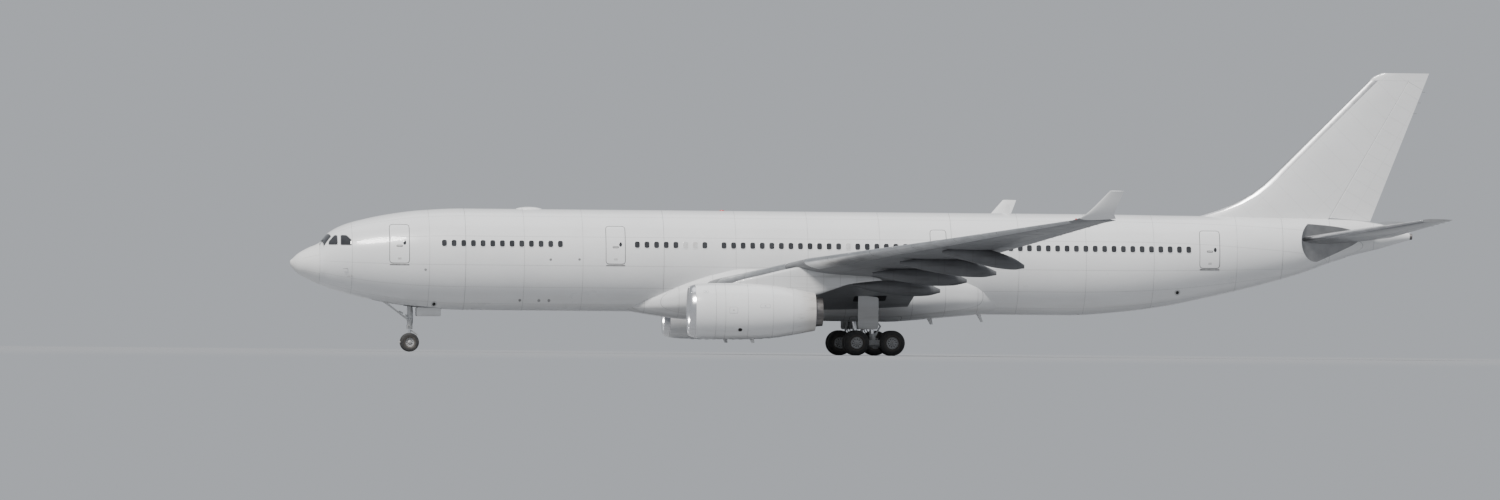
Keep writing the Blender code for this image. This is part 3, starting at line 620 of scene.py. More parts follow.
def riveted_skin(made, rings, laps, arc):
    """Butt joints around a hull, lap joints along it and a row of rivets beside each."""
    ring, lap = nearest(made.station, rings), nearest(abs(arc), laps)
    made.seams(line(ring, 0.014).most(line(lap, 0.011)), SEAM_TONE)
    around, along = every(arc, RIVET_PITCH), every(made.station, RIVET_PITCH)
    rows = dot(abs(ring - 0.055), around, 0.014).most(dot(abs(lap - 0.045), along, 0.014))
    made.rivets(rows, SEAM_TONE)


def hull_paint():
    made = white_paint("hull_paint")
    arc = made.side.math("ARCTAN2", made.height) * HULL_RADIUS
    riveted_skin(made, HULL_RINGS, HULL_LAPS, arc)
    # Darker streaks towards the keel.
    low = made.height.step(-1.2, -2.7)
    made.shade(low * made.noise(0.5, (8, 1, 1)).step(0.35, 0.75) * 0.35, GREYED_WHITE)
    return made.done()


def radome_finish():
    """Moulded composite: satin, worn at its tip, with lightning strips running back from it."""
    made = white_paint("radome_finish", 0.36, 0.15, (0.78, 0.78, 0.775))
    made.shade(made.station.step(0.5, 0.0) * 0.35, (0.58, 0.57, 0.55))
    turn = made.side.math("ARCTAN2", made.height + 0.35)
    strips = line(every(turn, pi / 4, pi / 8), 0.02) * made.station.step(0.55, 0.7)
    made.shade(strips * 0.5, (0.55, 0.55, 0.54)).emboss(strips, 0.004)
    made.grain(0.02, 0.0004)
    return made.done()


def belly_paint():
    """Composite fairing panels with quarter-turn fasteners, in darker streaks towards the bottom."""
    made = white_paint("belly_paint", 0.32, 0.3, (0.74, 0.745, 0.75))
    across, along = every(made.side, 1.18, 0.0), every(made.station, 1.85, 19.6)
    edge = across.least(along)
    made.seams(line(edge, 0.016), SEAM_TONE)
    fasteners = dot(abs(across - 0.07), every(made.station, 0.21), 0.018)
    made.rivets(fasteners.most(dot(abs(along - 0.07), every(made.side, 0.21), 0.018)), SEAM_TONE)
    low = made.height.step(-1.9, -3.2)
    made.shade(low * made.noise(0.45, (9, 1, 1)).step(0.3, 0.75) * 0.55, (0.40, 0.385, 0.36))
    return made.done()


FIN_SLOPE = 1.0056
HINGE_SLOPE = 0.568


def fin_paint(name, slope, start, ribs):
    """A fin's or rudder's skin: ribs square to its spar, and a lighter soil than the hull's."""
    made = white_paint(name, 0.26, 0.45, (0.81, 0.815, 0.82))
    back = made.station - made.height * slope
    across = made.station * slope + made.height
    edge = line(every(across, ribs), 0.016).most(line(nearest(back, start), 0.014))
    made.seams(edge * 0.35, SEAM_TONE, 0.002)
    made.rivets(dot(every(across, ribs) - 0.05, every(back, 0.15), 0.014), SEAM_TONE)
    return made.done()


COWL_RINGS = (23.42, 26.05, 27.60)
ENGINE_PLACE = (9.37, -2.77)


def around_engine(made):
    """The turn about an engine's axis and the distance from it, as wires; nought at the top."""
    beside, above = abs(made.side) - ENGINE_PLACE[0], made.height - ENGINE_PLACE[1]
    radius = (beside * beside + above * above).math("SQRT")
    return beside.math("ARCTAN2", above), radius


def cowl_paint():
    """Deep gloss white with split lines, fastener rows and thin streaks of soil."""
    made = white_paint("cowl_paint", 0.16, 0.8)
    turn, _ = around_engine(made)
    ring = nearest(made.station, COWL_RINGS)
    split = abs(abs(turn) - pi) * 1.5
    made.seams(line(ring, 0.012).most(line(split, 0.014)), SEAM_TONE)
    made.rivets(dot(abs(ring - 0.05), every(turn * 1.5, 0.11), 0.012), SEAM_TONE)
    low = abs(turn).step(1.9, 3.0)
    made.shade(low * made.noise(0.22, (10, 1, 1)).step(0.45, 0.8) * 0.4, (0.45, 0.43, 0.40))
    return made.done()


def nozzle_paint():
    """The aft cowl's paint, which heat yellows towards the nozzle's edge."""
    made = white_paint("nozzle_paint", 0.24, 0.4, (0.76, 0.765, 0.77))
    turn, _ = around_engine(made)
    ring = nearest(made.station, (26.05, 27.18))
    made.seams(line(ring, 0.012), SEAM_TONE)
    made.rivets(dot(abs(ring - 0.05), every(turn * 1.3, 0.11), 0.012), SEAM_TONE)
    made.shade(made.station.step(27.3, 28.4) * 0.55, (0.50, 0.46, 0.41))
    streaks = made.noise(0.15, (9, 1, 1)).step(0.5, 0.8)
    made.shade(streaks * made.station.step(26.5, 28.4) * 0.5, (0.30, 0.28, 0.26))
    return made.done()


def pylon_paint():
    made = white_paint("pylon_paint", 0.28, 0.35, (0.66, 0.665, 0.67))
    along, up = every(made.station, 0.92, 24.3), every(made.height, 0.62, -1.45)
    made.seams(line(along.least(up), 0.012), SEAM_TONE)
    made.rivets(dot(abs(along - 0.05), every(made.height, 0.1), 0.012), SEAM_TONE)
    streaks = made.noise(0.3, (8, 1, 1)).step(0.4, 0.8)
    made.shade(streaks * made.station.step(26.0, 31.0) * 0.6, (0.30, 0.29, 0.27))
    return made.done()


LEAD_SLOPE = 0.699
LEAD_START = 20.74


def behind_edge(made):
    """Metres behind the wing's straight leading edge, as a wire."""
    return made.station - abs(made.side) * LEAD_SLOPE - LEAD_START


def grey_skin(name, tone, ribs, stringers, roughness=0.34, coat=0.15):
    """The wing's grey skin: planks along the span, rib joints across it and soil drawn aft."""
    made = Coating(name, tone, roughness, coat=coat)
    soil, fresh = tuple(0.62 * c for c in tone), tuple(1.16 * c for c in tone)
    made.clouds(1.7, fresh, 0.6)
    made.clouds(0.28, soil, 0.45, (7, 1, 1), (0.45, 0.8))
    back = behind_edge(made)
    rib, plank = every(made.side, ribs, 0.35), every(back, stringers, 0.4)
    made.seams(line(rib.least(plank), 0.013), tuple(0.45 * c for c in tone), 0.002)
    rib_row = dot(abs(rib - 0.045), every(back, 0.15), 0.013)
    plank_row = dot(abs(plank - 0.045), every(made.side, 0.15), 0.013)
    made.rivets(rib_row.most(plank_row), soil)
    made.smears(0.5, 0.16, (3, 1, 1))
    made.grain(0.015, 0.00015)
    return made.done()


def canoe_grey_and_shade_finish():
    # Grey paint darkened almost to black: painted shade.
    made = Coating("canoe_grey_and_shade", (0.105, 0.108, 0.115), 0.36, coat=0.2)
    made.clouds(0.9, (0.135, 0.138, 0.145), 0.7)
    made.clouds(0.2, (0.06, 0.06, 0.06), 0.6, (8, 1, 1), (0.45, 0.8))
    ring = every(made.station, 1.24, 31.3)
    made.seams(line(ring, 0.013), (0.07, 0.07, 0.07))
    made.rivets(dot(abs(ring - 0.05), every(made.height, 0.09), 0.012), (0.08, 0.08, 0.08))
    made.smears(0.3, 0.15, (4, 1, 1))
    return made.done()


def brushed(name, tone, roughness, stretch, grain=0.006, depth=0.0002, joints=None, clouds=0.5):
    """Bare metal with drawn-out grain, cloudy with weather, and joints at a pitch along the span."""
    made = Coating(name, tone, roughness, metallic=1.0)
    made.clouds(0.5, tuple(0.72 * c for c in tone), clouds)
    made.dull(made.noise(0.02, stretch, 4.0), 0.14)
    made.smears(0.35, 0.12)
    made.grain(grain, depth, stretch)
    if joints:
        gap = every(made.side, joints)
        made.seams(line(gap, 0.012), (0.08, 0.08, 0.08))
        made.rivets(dot(abs(gap - 0.05), every(made.station, 0.12), 0.012), (0.12, 0.12, 0.12))
    return made


def slat_metal():
    """Aluminium skin of the slats: grain along the span, pits and splashes by its leading edge."""
    made = brushed("slat_metal", (0.62, 0.63, 0.64), 0.24, (1, 9, 1), joints=2.92)
    made.dull(made.flecks(0.05).step(0.25, 0.0), 0.2)
    return made.done()


def lip_metal():
    """The polished lip of an engine's inlet, in welded segments."""
    made = brushed("polished", (0.80, 0.80, 0.81), 0.07, (1, 6, 6), clouds=0.25)
    turn, _ = around_engine(made)
    made.seams(line(every(turn * 1.4, pi * 1.4 / 2, pi * 1.4 / 4), 0.008), (0.2, 0.2, 0.2))
    return made.done()


def duct_liner():
    """Acoustic lining: grey panels full of small holes, with joints around and along the duct."""
    made = Coating("duct_liner", (0.20, 0.205, 0.21), 0.42, metallic=0.2)
    made.clouds(0.4, (0.14, 0.14, 0.145), 0.6)
    turn, _ = around_engine(made)
    arc = turn * 1.24
    # Each hole is a dark dot of painted shade over a sunk bump.
    shaded_holes = dot(every(arc, 0.03), every(made.station, 0.03), 0.009)
    made.shade(shaded_holes * 0.8, (0.03, 0.03, 0.03)).emboss(shaded_holes, -0.003)
    joint = every(arc, pi * 1.24 / 4).least(nearest(made.station, (21.95, 22.90, 23.42)))
    made.seams(line(joint, 0.012), (0.06, 0.06, 0.06))
    return made.done()


def hot_metal():
    """Nozzle alloy: straw and blue heat tints in bands along the nozzle, soot towards its end."""
    made = brushed("nozzle_metal_finish", (0.40, 0.38, 0.36), 0.30, (6, 1, 1))
    bands = made.noise(0.5, (1, 4, 4)) * 0.25 + (made.station - 26.4) / 2.6
    tints = {"stops": ((0.0, (0.42, 0.40, 0.38)), (0.35, (0.46, 0.36, 0.24)), (0.55, (0.33, 0.24, 0.30)),
                       (0.72, (0.20, 0.23, 0.34)), (1.0, (0.20, 0.19, 0.19)))}
    made.shade(0.65, made.add("ShaderNodeValToRGB", tints, {0: bands}))
    made.clouds(0.2, (0.07, 0.07, 0.07), 0.55, (7, 1, 1))
    made.seams(line(nearest(made.station, (27.35, 28.30)), 0.012), (0.05, 0.05, 0.05))
    return made.done()


def blade_metal():
    """Titanium blades: darker at the root, a bright worn leading edge, chordwise polish."""
    made = brushed("fan_metal_finish", (0.42, 0.43, 0.45), 0.26, (5, 1, 1))
    _, radius = around_engine(made)
    made.shade(radius.step(0.9, 0.35) * 0.6, (0.12, 0.12, 0.125))
    made.shade(made.station.step(23.12, 23.02) * 0.7, (0.68, 0.68, 0.68))
    return made.done()


def spinner_paint():
    """Black satin with the white curl that shows ground crews that the fan turns."""
    made = Coating("spinner_paint", (0.035, 0.035, 0.037), 0.36, coat=0.3)
    made.clouds(0.2, (0.06, 0.06, 0.06), 0.6)
    turn, radius = around_engine(made)
    wound = (turn / (2 * pi) + radius * 1.9) % 1.0
    curl = abs(wound - 0.5).step(0.14, 0.11) * radius.step(0.09, 0.10) * radius.step(0.30, 0.29)
    made.shade(curl, (0.74, 0.74, 0.73)).emboss(curl, 0.0005)
    made.smears(0.1, 0.2)
    return made.done()


def dull_metal(name, tone, roughness=0.45, soil=(0.05, 0.045, 0.04), share=0.55):
    """Machined or painted metal parts with grime in patches and fine tool marks."""
    made = Coating(name, tone, roughness, metallic=0.75)
    made.clouds(0.12, soil, share)
    made.clouds(0.02, tuple(min(1.0, 1.4 * c) for c in tone), 0.3, (1, 1, 4))
    made.smears(0.06, 0.2)
    made.grain(0.008, 0.0005)
    return made.done()


def gear_paint():
    """Light grey enamel on forgings: grease in its hollows, dust below and small chips."""
    made = Coating("gear_paint", (0.60, 0.61, 0.62), 0.30, coat=0.35)
    made.clouds(0.35, (0.52, 0.52, 0.51), 0.8)
    made.clouds(0.10, (0.20, 0.17, 0.13), 0.45, (1, 1, 3), (0.52, 0.8))
    made.shade(made.height.step(-3.6, -4.9) * made.noise(0.08).step(0.3, 0.8) * 0.5, (0.30, 0.28, 0.25))
    chips = made.flecks(0.07).step(0.11, 0.07)
    made.shade(chips, (0.30, 0.29, 0.27)).emboss(chips, -0.0012)
    made.smears(0.12, 0.25)
    made.grain(0.01, 0.0003)
    return made.done()


def chrome():
    """The sliding tube of a shock strut, bright with a film of oil and upright wipe marks."""
    made = Coating("chrome", (0.82, 0.83, 0.85), 0.06, metallic=1.0)
    made.clouds(0.1, (0.62, 0.62, 0.62), 0.5, (1, 1, 5))
    made.dull(made.noise(0.01, (1, 1, 12), 4.0).step(0.5, 0.8), 0.18)
    return made.done()


MAIN_AXLE_STATIONS = (31.05, 33.03)
NOSE_AXLE_STATION = (6.67,)


def tyre_rubber(name, stations, height, radius):
    """Rubber with moulded rings on its side wall, brake dust by the rim and a dusty, scuffed tread."""
    made = Coating(name, (0.024, 0.024, 0.025), 0.62)
    along, up = nearest(made.station, stations), made.height - height
    out = (along * along + up * up).math("SQRT") / radius
    made.clouds(0.12, (0.052, 0.049, 0.045), 0.7)
    wear = out.step(0.955, 0.985) * made.noise(0.05, (1, 3, 1)).step(0.25, 0.8)
    made.shade(wear * 0.75, (0.085, 0.08, 0.072)).dull(wear, 0.2)
    rings = line(nearest(out, (0.70, 0.735, 0.80, 0.895)), 0.009)
    made.emboss(rings, 0.004).shade(rings * 0.35, (0.07, 0.07, 0.07))
    made.shade(out.step(0.70, 0.60) * 0.6, (0.09, 0.08, 0.07))
    made.grain(0.012, 0.0012)
    return made.done()


def rim_finish(name, stations, height):
    """Cast wheel halves: satin aluminium paint, dark with brake dust between its ribs."""
    made = Coating(name, (0.56, 0.57, 0.58), 0.34, metallic=0.4)
    along, up = nearest(made.station, stations), made.height - height
    made.clouds(0.05, (0.22, 0.20, 0.18), 0.6)
    out = (along * along + up * up).math("SQRT")
    made.shade(out.step(0.10, 0.02) * 0.5, (0.20, 0.19, 0.18))
    made.seams(line(every(out, 0.09, 0.03), 0.006), (0.10, 0.09, 0.08))
    made.smears(0.04, 0.3)
    made.grain(0.008, 0.0006)
    return made.done()


def rubber(name, tone, rings=0.02):
    """Hose and seal rubber with a fine rib."""
    made = Coating(name, tone, 0.58)
    made.clouds(0.06, tuple(2.2 * c for c in tone), 0.5)
    made.emboss(line(every(made.height + made.station, rings), rings * 0.3), 0.0015)
    made.smears(0.05, 0.25)
    return made.done()


def glass(name, tone, depth):
    """Dark glazing over an unlit room: a clear gloss with faint smears and a slow change of depth."""
    made = Coating(name, tone, 0.05, coat=1.0)
    made.clouds(0.6, depth, 0.8)
    made.dull(made.noise(0.2, (1, 1, 3), 4.0).step(0.5, 0.85), 0.10)
    made.grain(0.3, 0.0006)
    return made.done()


def lens_glass(name, tone, glow):
    """A lamp's moulded lens: fine prisms over a coloured glass that is faintly lit."""
    made = Coating(name, tone, 0.08, coat=1.0)
    made.clouds(0.05, tuple(0.6 * c for c in tone), 0.7)
    made.emboss(every(made.height + made.station, 0.02), 0.15)
    made.shader.inputs["Emission Color"].default_value = (*tone, 1)
    made.shader.inputs["Emission Strength"].default_value = glow
    return made.done()


def fitting_paint():
    made = Coating("fitting_paint", (0.62, 0.63, 0.64), 0.34, coat=0.2)
    made.clouds(0.2, (0.52, 0.51, 0.50), 0.7)
    made.clouds(0.05, (0.30, 0.28, 0.26), 0.3)
    made.smears(0.1, 0.2)
    made.grain(0.01, 0.0003)
    return made.done()


HULL_PAINT = hull_paint()
RADOME = radome_finish()
PLAIN_WHITE = white_paint("plain_white", 0.27).done()
BELLY_PAINT = belly_paint()
FIN_PAINT = fin_paint("fin_paint", FIN_SLOPE, (50.35, 54.0), 1.62)
RUDDER_PAINT = fin_paint("rudder_paint", HINGE_SLOPE, (57.6,), 0.92)
# The tailplane's grey is darker than its real paint: painted shade.
TAIL_GREY_AND_SHADE = grey_skin("tailplane_grey_and_shade", (0.20, 0.204, 0.212), 1.46, 0.72, 0.28, 0.4)
COWL_PAINT = cowl_paint()
NOZZLE_PAINT = nozzle_paint()
PYLON_PAINT = pylon_paint()
# The wing's and the flaps' greys are darker than their real paint: painted shade.
WING_GREY_AND_SHADE = grey_skin("wing_grey_and_shade", (0.20, 0.204, 0.212), 2.05, 0.88)
FLAP_GREY_AND_SHADE = grey_skin("flap_grey_and_shade", (0.24, 0.244, 0.252), 1.46, 5.0)
CANOE_GREY_AND_SHADE = canoe_grey_and_shade_finish()
SLAT_METAL = slat_metal()
BARE_EDGE = brushed("bare_edge", (0.66, 0.66, 0.67), 0.20, (1, 1, 8)).done()
POLISHED = lip_metal()
TAIL_METAL = brushed("tail_metal", (0.34, 0.34, 0.345), 0.26, (7, 1, 1)).done()
DUCT_LINER = duct_liner()
NOZZLE_METAL = hot_metal()
FAN_METAL = blade_metal()
SPINNER_PAINT = spinner_paint()
DARK_METAL = dull_metal("dark_metal", (0.13, 0.13, 0.135))
BRAKE_METAL = dull_metal("brake_metal", (0.10, 0.09, 0.085), 0.6, (0.20, 0.12, 0.07), 0.4)
SEAL_RUBBER = rubber("seal_rubber", (0.045, 0.045, 0.047))
HOSE_RUBBER = rubber("hose_rubber", (0.022, 0.022, 0.023), 0.012)
WORN_METAL = dull_metal("worn_metal", (0.42, 0.42, 0.42), 0.34)
FITTING_PAINT = fitting_paint()
GEAR_PAINT = gear_paint()
CHROME = chrome()
MAIN_RUBBER = tyre_rubber("main_tyre_rubber", MAIN_AXLE_STATIONS, GROUND + 0.70, 0.70)
NOSE_RUBBER = tyre_rubber("nose_tyre_rubber", NOSE_AXLE_STATION, GROUND + 0.52, 0.52)
MAIN_RIM = rim_finish("main_rim", MAIN_AXLE_STATIONS, GROUND + 0.70)
NOSE_RIM = rim_finish("nose_rim", NOSE_AXLE_STATION, GROUND + 0.52)
CABIN_GLASS = glass("cabin_glass", (0.020, 0.021, 0.024), (0.040, 0.042, 0.046))
DECK_GLASS = glass("deck_glass", (0.018, 0.019, 0.022), (0.035, 0.036, 0.04))
# Near black laid over openings, bays and holes: painted shade of the hollows behind them.
HOLLOW_SHADE = dull_metal("hollow_shade", (0.035, 0.035, 0.037), 0.6)
RED_LENS = lens_glass("red_lens", (0.60, 0.02, 0.02), 0.2)
GREEN_LENS = lens_glass("green_lens", (0.02, 0.45, 0.12), 0.2)
CLEAR_LENS = lens_glass("clear_lens", (0.72, 0.74, 0.76), 0.3)


# Fuselage

# Station, crown height, keel height, half width
FUSELAGE = (
    (0.00, -0.20, -0.28, 0.04),
    (0.12, -0.06, -0.54, 0.29),
    (0.50, 0.28, -0.92, 0.74),
    (1.00, 0.56, -1.17, 1.06),
    (1.60, 0.84, -1.45, 1.38),
    (1.93, 1.24, -1.57, 1.52),
    (2.20, 1.47, -1.68, 1.64),
    (3.00, 1.88, -1.91, 1.95),
    (4.10, 2.19, -2.19, 2.27),
    (5.40, 2.46, -2.45, 2.53),
    (7.20, 2.70, -2.69, 2.74),
    (9.60, 2.82, -2.82, 2.82),
    (43.40, 2.82, -2.82, 2.82),
    (46.40, 2.81, -2.60, 2.79),
    (48.70, 2.79, -2.28, 2.64),
    (50.90, 2.78, -1.82, 2.38),
    (53.60, 2.76, -1.18, 1.94),
    (56.25, 2.73, -0.42, 1.51),
    (58.90, 2.66, 0.55, 1.04),
    (60.70, 2.45, 1.02, 0.68),
    (61.80, 2.17, 1.35, 0.42),
    (62.47, 1.92, 1.54, 0.20),
)
HULL_FLOW = Flow([sqrt(row[0]) for row in FUSELAGE], [row[1:] for row in FUSELAGE])
RADOME_END = 1.60
COCKPIT_END = 9.60
CENTRE_START = 20.60
CENTRE_END = 36.60
TAIL_START = 55.20
HULL_END = FUSELAGE[-1][0]
HULL_SIDES = 112
SKINS = (
    ("radome", 0.0, RADOME_END),
    ("cockpit_section", RADOME_END, COCKPIT_END),
    ("forward_fuselage", COCKPIT_END, CENTRE_START),
    ("centre_fuselage", CENTRE_START, CENTRE_END),
    ("aft_fuselage", CENTRE_END, TAIL_START),
    ("tail_cone", TAIL_START, HULL_END),
)
NOSE_STEP = 0.08
HULL_STEP = 0.40


def on_hull(station, turn, lift=0.0):
    """A point of the fuselage's skin; the turn is measured from the crown towards starboard."""
    top, bottom, half = HULL_FLOW(sqrt(max(station, 0.0)))
    across = (half + lift) * sin(turn)
    return at(station, across, (top + bottom) / 2 + ((top - bottom) / 2 + lift) * cos(turn))


def turn_at(station, height):
    """How far round from the crown the skin is at a height."""
    top, bottom, _ = HULL_FLOW(sqrt(station))
    share = (height - (top + bottom) / 2) / ((top - bottom) / 2)
    return acos(max(-1.0, min(1.0, share)))


def hull_side(sign):
    """A place function for plates on the fuselage's side, on stations and heights."""
    return lambda station, height, lift: on_hull(station, sign * turn_at(station, height), lift)


def hull_round(station, arc, lift):
    """A place function for plates near the crown or the keel, on stations and girth from the crown."""
    return on_hull(station, arc / HULL_RADIUS, lift)


def outward_at(place, x, y, reach=0.02):
    """The direction out of a surface and the direction aft along it."""
    middle = place(x, y, 0.0)
    aft = (place(x + reach, y, 0.0) - middle).normalized()
    around = (place(x, y + reach, 0.0) - middle).normalized()
    out = aft.cross(around).normalized()
    return (out if out.dot(place(x, y, 1.0) - middle) > 0 else -out), aft


def make_skins():
    """The fuselage's barrels, each with a fine edge where it meets the next."""
    for name, start, end in SKINS:
        bm = bmesh.new()
        gap = 0.004
        stations = [start + (gap if start else 0.0)]
        while stations[-1] < end - gap:
            step = NOSE_STEP if stations[-1] < COCKPIT_END else HULL_STEP
            if stations[-1] < 0.3:
                step = 0.02
            stations.append(min(stations[-1] + step, end - gap))
        turns = [2 * pi * i / HULL_SIDES for i in range(HULL_SIDES)]
        lips = [(stations[0], -0.006)] if start else []
        lips += [(x, 0.0) for x in stations] + [(stations[-1], -0.006)]
        loft(bm, [[on_hull(x, t, lift) for t in turns] for x, lift in lips])
        finish, slot = (RADOME, "radome_paint") if name == "radome" else (HULL_PAINT, "white_paint")
        carve = (tail_seats(), TAIL_METAL) if name == "tail_cone" else None
        piece(name + "_skin", bm, finish, slot, (name,), sharp=50, carve=carve)


# Plates that follow a surface

def rounded(points, radius, count=4):
    """A closed outline with its corners rounded off."""
    outline = []
    for i, corner in enumerate(points):
        corner = Vector(corner)
        before = Vector(points[i - 1]) - corner
        after = Vector(points[(i + 1) % len(points)]) - corner
        reach = min(radius, before.length / 2, after.length / 2)
        a, b = corner + before.normalized() * reach, corner + after.normalized() * reach
        for j in range(count + 1):
            t = j / count
            outline.append(a * (1 - t) ** 2 + corner * 2 * t * (1 - t) + b * t * t)
    return outline


def divided(outline, longest):
    """Points added along an outline so that none are further apart than that."""
    filled = []
    for a, b in zip(outline, outline[1:] + outline[:1]):
        count = max(1, ceil((b - a).length / longest))
        filled += [a.lerp(b, i / count) for i in range(count)]
    return filled


def rectangle(left, low, right, high):
    return ((left, low), (right, low), (right, high), (left, high))


def patch(left, low, right, high, corner):
    """A rectangle's outline with rounded corners."""
    return rounded(rectangle(left, low, right, high), corner)


def oval(x, y, across, up, count=20):
    return [Vector((x + across * cos(t), y + up * sin(t))) for t in full_turn(count)]


def circle(x, y, radius, count=20):
    return oval(x, y, radius, radius, count)


def shrunk(outline, inset):
    """A convex outline moved inwards."""
    moved = []
    area = sum(a.cross(b) for a, b in zip(outline, outline[1:] + outline[:1]))
    inward = copysign(1.0, area)
    for i, point in enumerate(outline):
        run = (outline[(i + 1) % len(outline)] - outline[i - 1]).normalized()
        moved.append(point + Vector((-run.y, run.x)) * inward * inset)
    return moved


def grown(outline, distance):
    return shrunk(outline, -distance)


def plate(bm, outline, place, profile, fill=3, depth=-0.02):
    """A closed plate on a surface; its profile is (inset, lift) pairs from the rim to the face."""
    outline = list(outline)
    middle = sum(outline, Vector((0, 0))) / len(outline)
    rows = [[place(*point, depth) for point in outline]]
    for inset, lift in profile:
        rows.append([place(*point, lift) for point in shrunk(outline, inset)])
    inset, lift = profile[-1]
    face = shrunk(outline, inset)
    for i in range(1, fill):
        rows.append([place(*middle.lerp(point, 1 - i / fill), lift) for point in face])
    rows.append([place(*middle, lift)] * len(outline))
    made = [[bm.verts.new(point) for point in row] for row in rows[:-1]]
    top = bm.verts.new(rows[-1][0])
    count = len(outline)
    for near, far in zip(made, made[1:]):
        for i in range(count):
            j = (i + 1) % count
            bm.faces.new((near[i], near[j], far[j], far[i]))
    for i in range(count):
        bm.faces.new((made[-1][i], made[-1][(i + 1) % count], top))
    bm.faces.new(list(reversed(made[0])))


def frame_strip(bm, outline, place, width, lift):
    """A raised ring that follows an outline on a surface."""
    inner = shrunk(outline, width)
    rows = [[place(*p, -0.01) for p in outline], [place(*p, lift) for p in outline],
            [place(*p, lift) for p in inner], [place(*p, -0.01) for p in inner]]
    skin(bm, rows, around=True, back_to_start=True)


# Doors, hatches and windows of the fuselage

# Stations and heights of the cabin doors' openings
DOORS = (
    (5.38, 6.50, -0.27, 1.90),
    (17.36, 18.46, -0.22, 1.90),
    (35.40, 36.32, -0.10, 1.86),
    (50.46, 51.62, -0.15, 1.95),
)
DOOR_CORNER = 0.20
DOOR_PANE = (0.085, 0.125)
DOOR_PANE_BACK = 0.28
SEAL = 0.030
CARGO_DOORS = (
    (12.20, 14.90, -2.18, -0.50),
    (40.40, 43.10, -2.18, -0.50),
    (46.60, 47.55, -1.85, -0.75),
)


def make_doors():
    """Each cabin door: its seal, panel, sill, window, handle and vent flap."""
    seals, panels, sills, panes, handles = (bmesh.new() for _ in range(5))
    for sign in (-1, 1):
        place = hull_side(sign)
        for x0, x1, z0, z1 in DOORS:
            whole = divided(patch(x0, z0, x1, z1, DOOR_CORNER), 0.10)
            plate(seals, whole, place, ((0.0, 0.004), (0.004, 0.005)), fill=10)
            plate(panels, shrunk(whole, SEAL), place, ((0.0, 0.008), (0.010, 0.015)), fill=10)
            sill = patch(x0 + 0.02, z0 - 0.10, x1 - 0.02, z0 - 0.02, 0.02)
            plate(sills, divided(sill, 0.25), place, ((0.0, 0.006), (0.006, 0.010)), fill=2)
            middle = (x0 + x1) / 2
            pane = oval(x1 - DOOR_PANE_BACK, WINDOW_HEIGHT, *DOOR_PANE, 24)
            plate(panes, pane, place, ((0.0, 0.017), (0.006, 0.019)))
            low = z0 + 0.42 * (z1 - z0)
            recess = patch(middle - 0.17, low, middle + 0.17, low + 0.11, 0.05)
            plate(seals, recess, place, ((0.0, 0.0165), (0.004, 0.017)))
            grip = patch(middle - 0.14, low + 0.03, middle + 0.14, low + 0.08, 0.02)
            plate(handles, grip, place, ((0.0, 0.021), (0.008, 0.026)))
            flap = patch(middle - 0.10, z0 + 0.22, middle + 0.10, z0 + 0.34, 0.03)
            plate(handles, flap, place, ((0.0, 0.017), (0.006, 0.020)))
    place = hull_side(1)
    for x0, x1, z0, z1 in CARGO_DOORS:
        whole = divided(patch(x0, z0, x1, z1, 0.12), 0.10)
        plate(seals, whole, place, ((0.0, 0.003), (0.004, 0.004)), fill=5)
        plate(panels, shrunk(whole, SEAL), place, ((0.0, 0.006), (0.010, 0.013)), fill=8)
        for share in (0.2, 0.4, 0.6, 0.8):
            x = x0 + share * (x1 - x0)
            latch = patch(x - 0.05, z0 + 0.10, x + 0.05, z0 + 0.20, 0.02)
            plate(handles, latch, place, ((0.0, 0.015), (0.006, 0.018)))
    piece("door_seals", seals, SEAL_RUBBER)
    piece("door_panels", panels, HULL_PAINT, "white_paint")
    piece("door_sills", sills, WORN_METAL)
    piece("door_windows", panes, CABIN_GLASS)
    piece("door_handles", handles, FITTING_PAINT)


WINDOW_SIZE = (0.28, 0.38)
WINDOW_HEIGHT = 0.88
# First station, last station and count of each run of cabin windows, with those that are blanked
WINDOW_RUNS = (
    (8.41, 14.84, 13, ()),
    (19.11, 22.86, 8, (5, 6)),
    (23.93, 34.02, 20, (13,)),
    (36.72, 40.42, 8, ()),
    (40.93, 49.84, 18, ()),
)


def window_spots(blank):
    """Each window's point and directions, either those with glass or the blanked ones."""
    spots = []
    for sign in (-1, 1):
        place = hull_side(sign)
        for first, last, count, blanked in WINDOW_RUNS:
            for i, station in enumerate(steps(first, last, count - 1)):
                if (i in blanked) == blank:
                    out, aft = outward_at(place, station, WINDOW_HEIGHT)
                    spots.append((place(station, WINDOW_HEIGHT, 0.0), out, aft))
    return spots


def window_outline(grow, count=5):
    """The window's rounded outline about its middle."""
    w, h = WINDOW_SIZE[0] / 2 + grow, WINDOW_SIZE[1] / 2 + grow
    return rounded(rectangle(-w, -h, w, h), 0.115 + grow, count)


def flat(x, y, lift):
    return Vector((x, y, lift)) * SCALE


def make_windows():
    """The cabin windows: rings of trim, dark panes and a few plain blanks."""
    ring_shape, pane, blank = bmesh.new(), bmesh.new(), bmesh.new()
    outer, inner = window_outline(0.035), window_outline(0.0)
    rows = [[flat(*p, -0.02) for p in outer], [flat(*p, 0.003) for p in outer],
            [flat(*p, 0.007) for p in window_outline(0.026)], [flat(*p, 0.004) for p in inner],
            [flat(*p, -0.02) for p in inner]]
    skin(ring_shape, rows, around=True, back_to_start=True)
    plate(pane, inner, flat, ((0.0, 0.0015), (0.02, 0.003)), fill=2)
    plate(blank, inner, flat, ((0.0, 0.003), (0.01, 0.005)), fill=2)
    every_spot = window_spots(False) + window_spots(True)
    repeated("window_frames", ring_shape, every_spot, HULL_PAINT, "white_paint")
    repeated("window_panes", pane, window_spots(False), CABIN_GLASS)
    repeated("window_blanks", blank, window_spots(True), FITTING_PAINT)


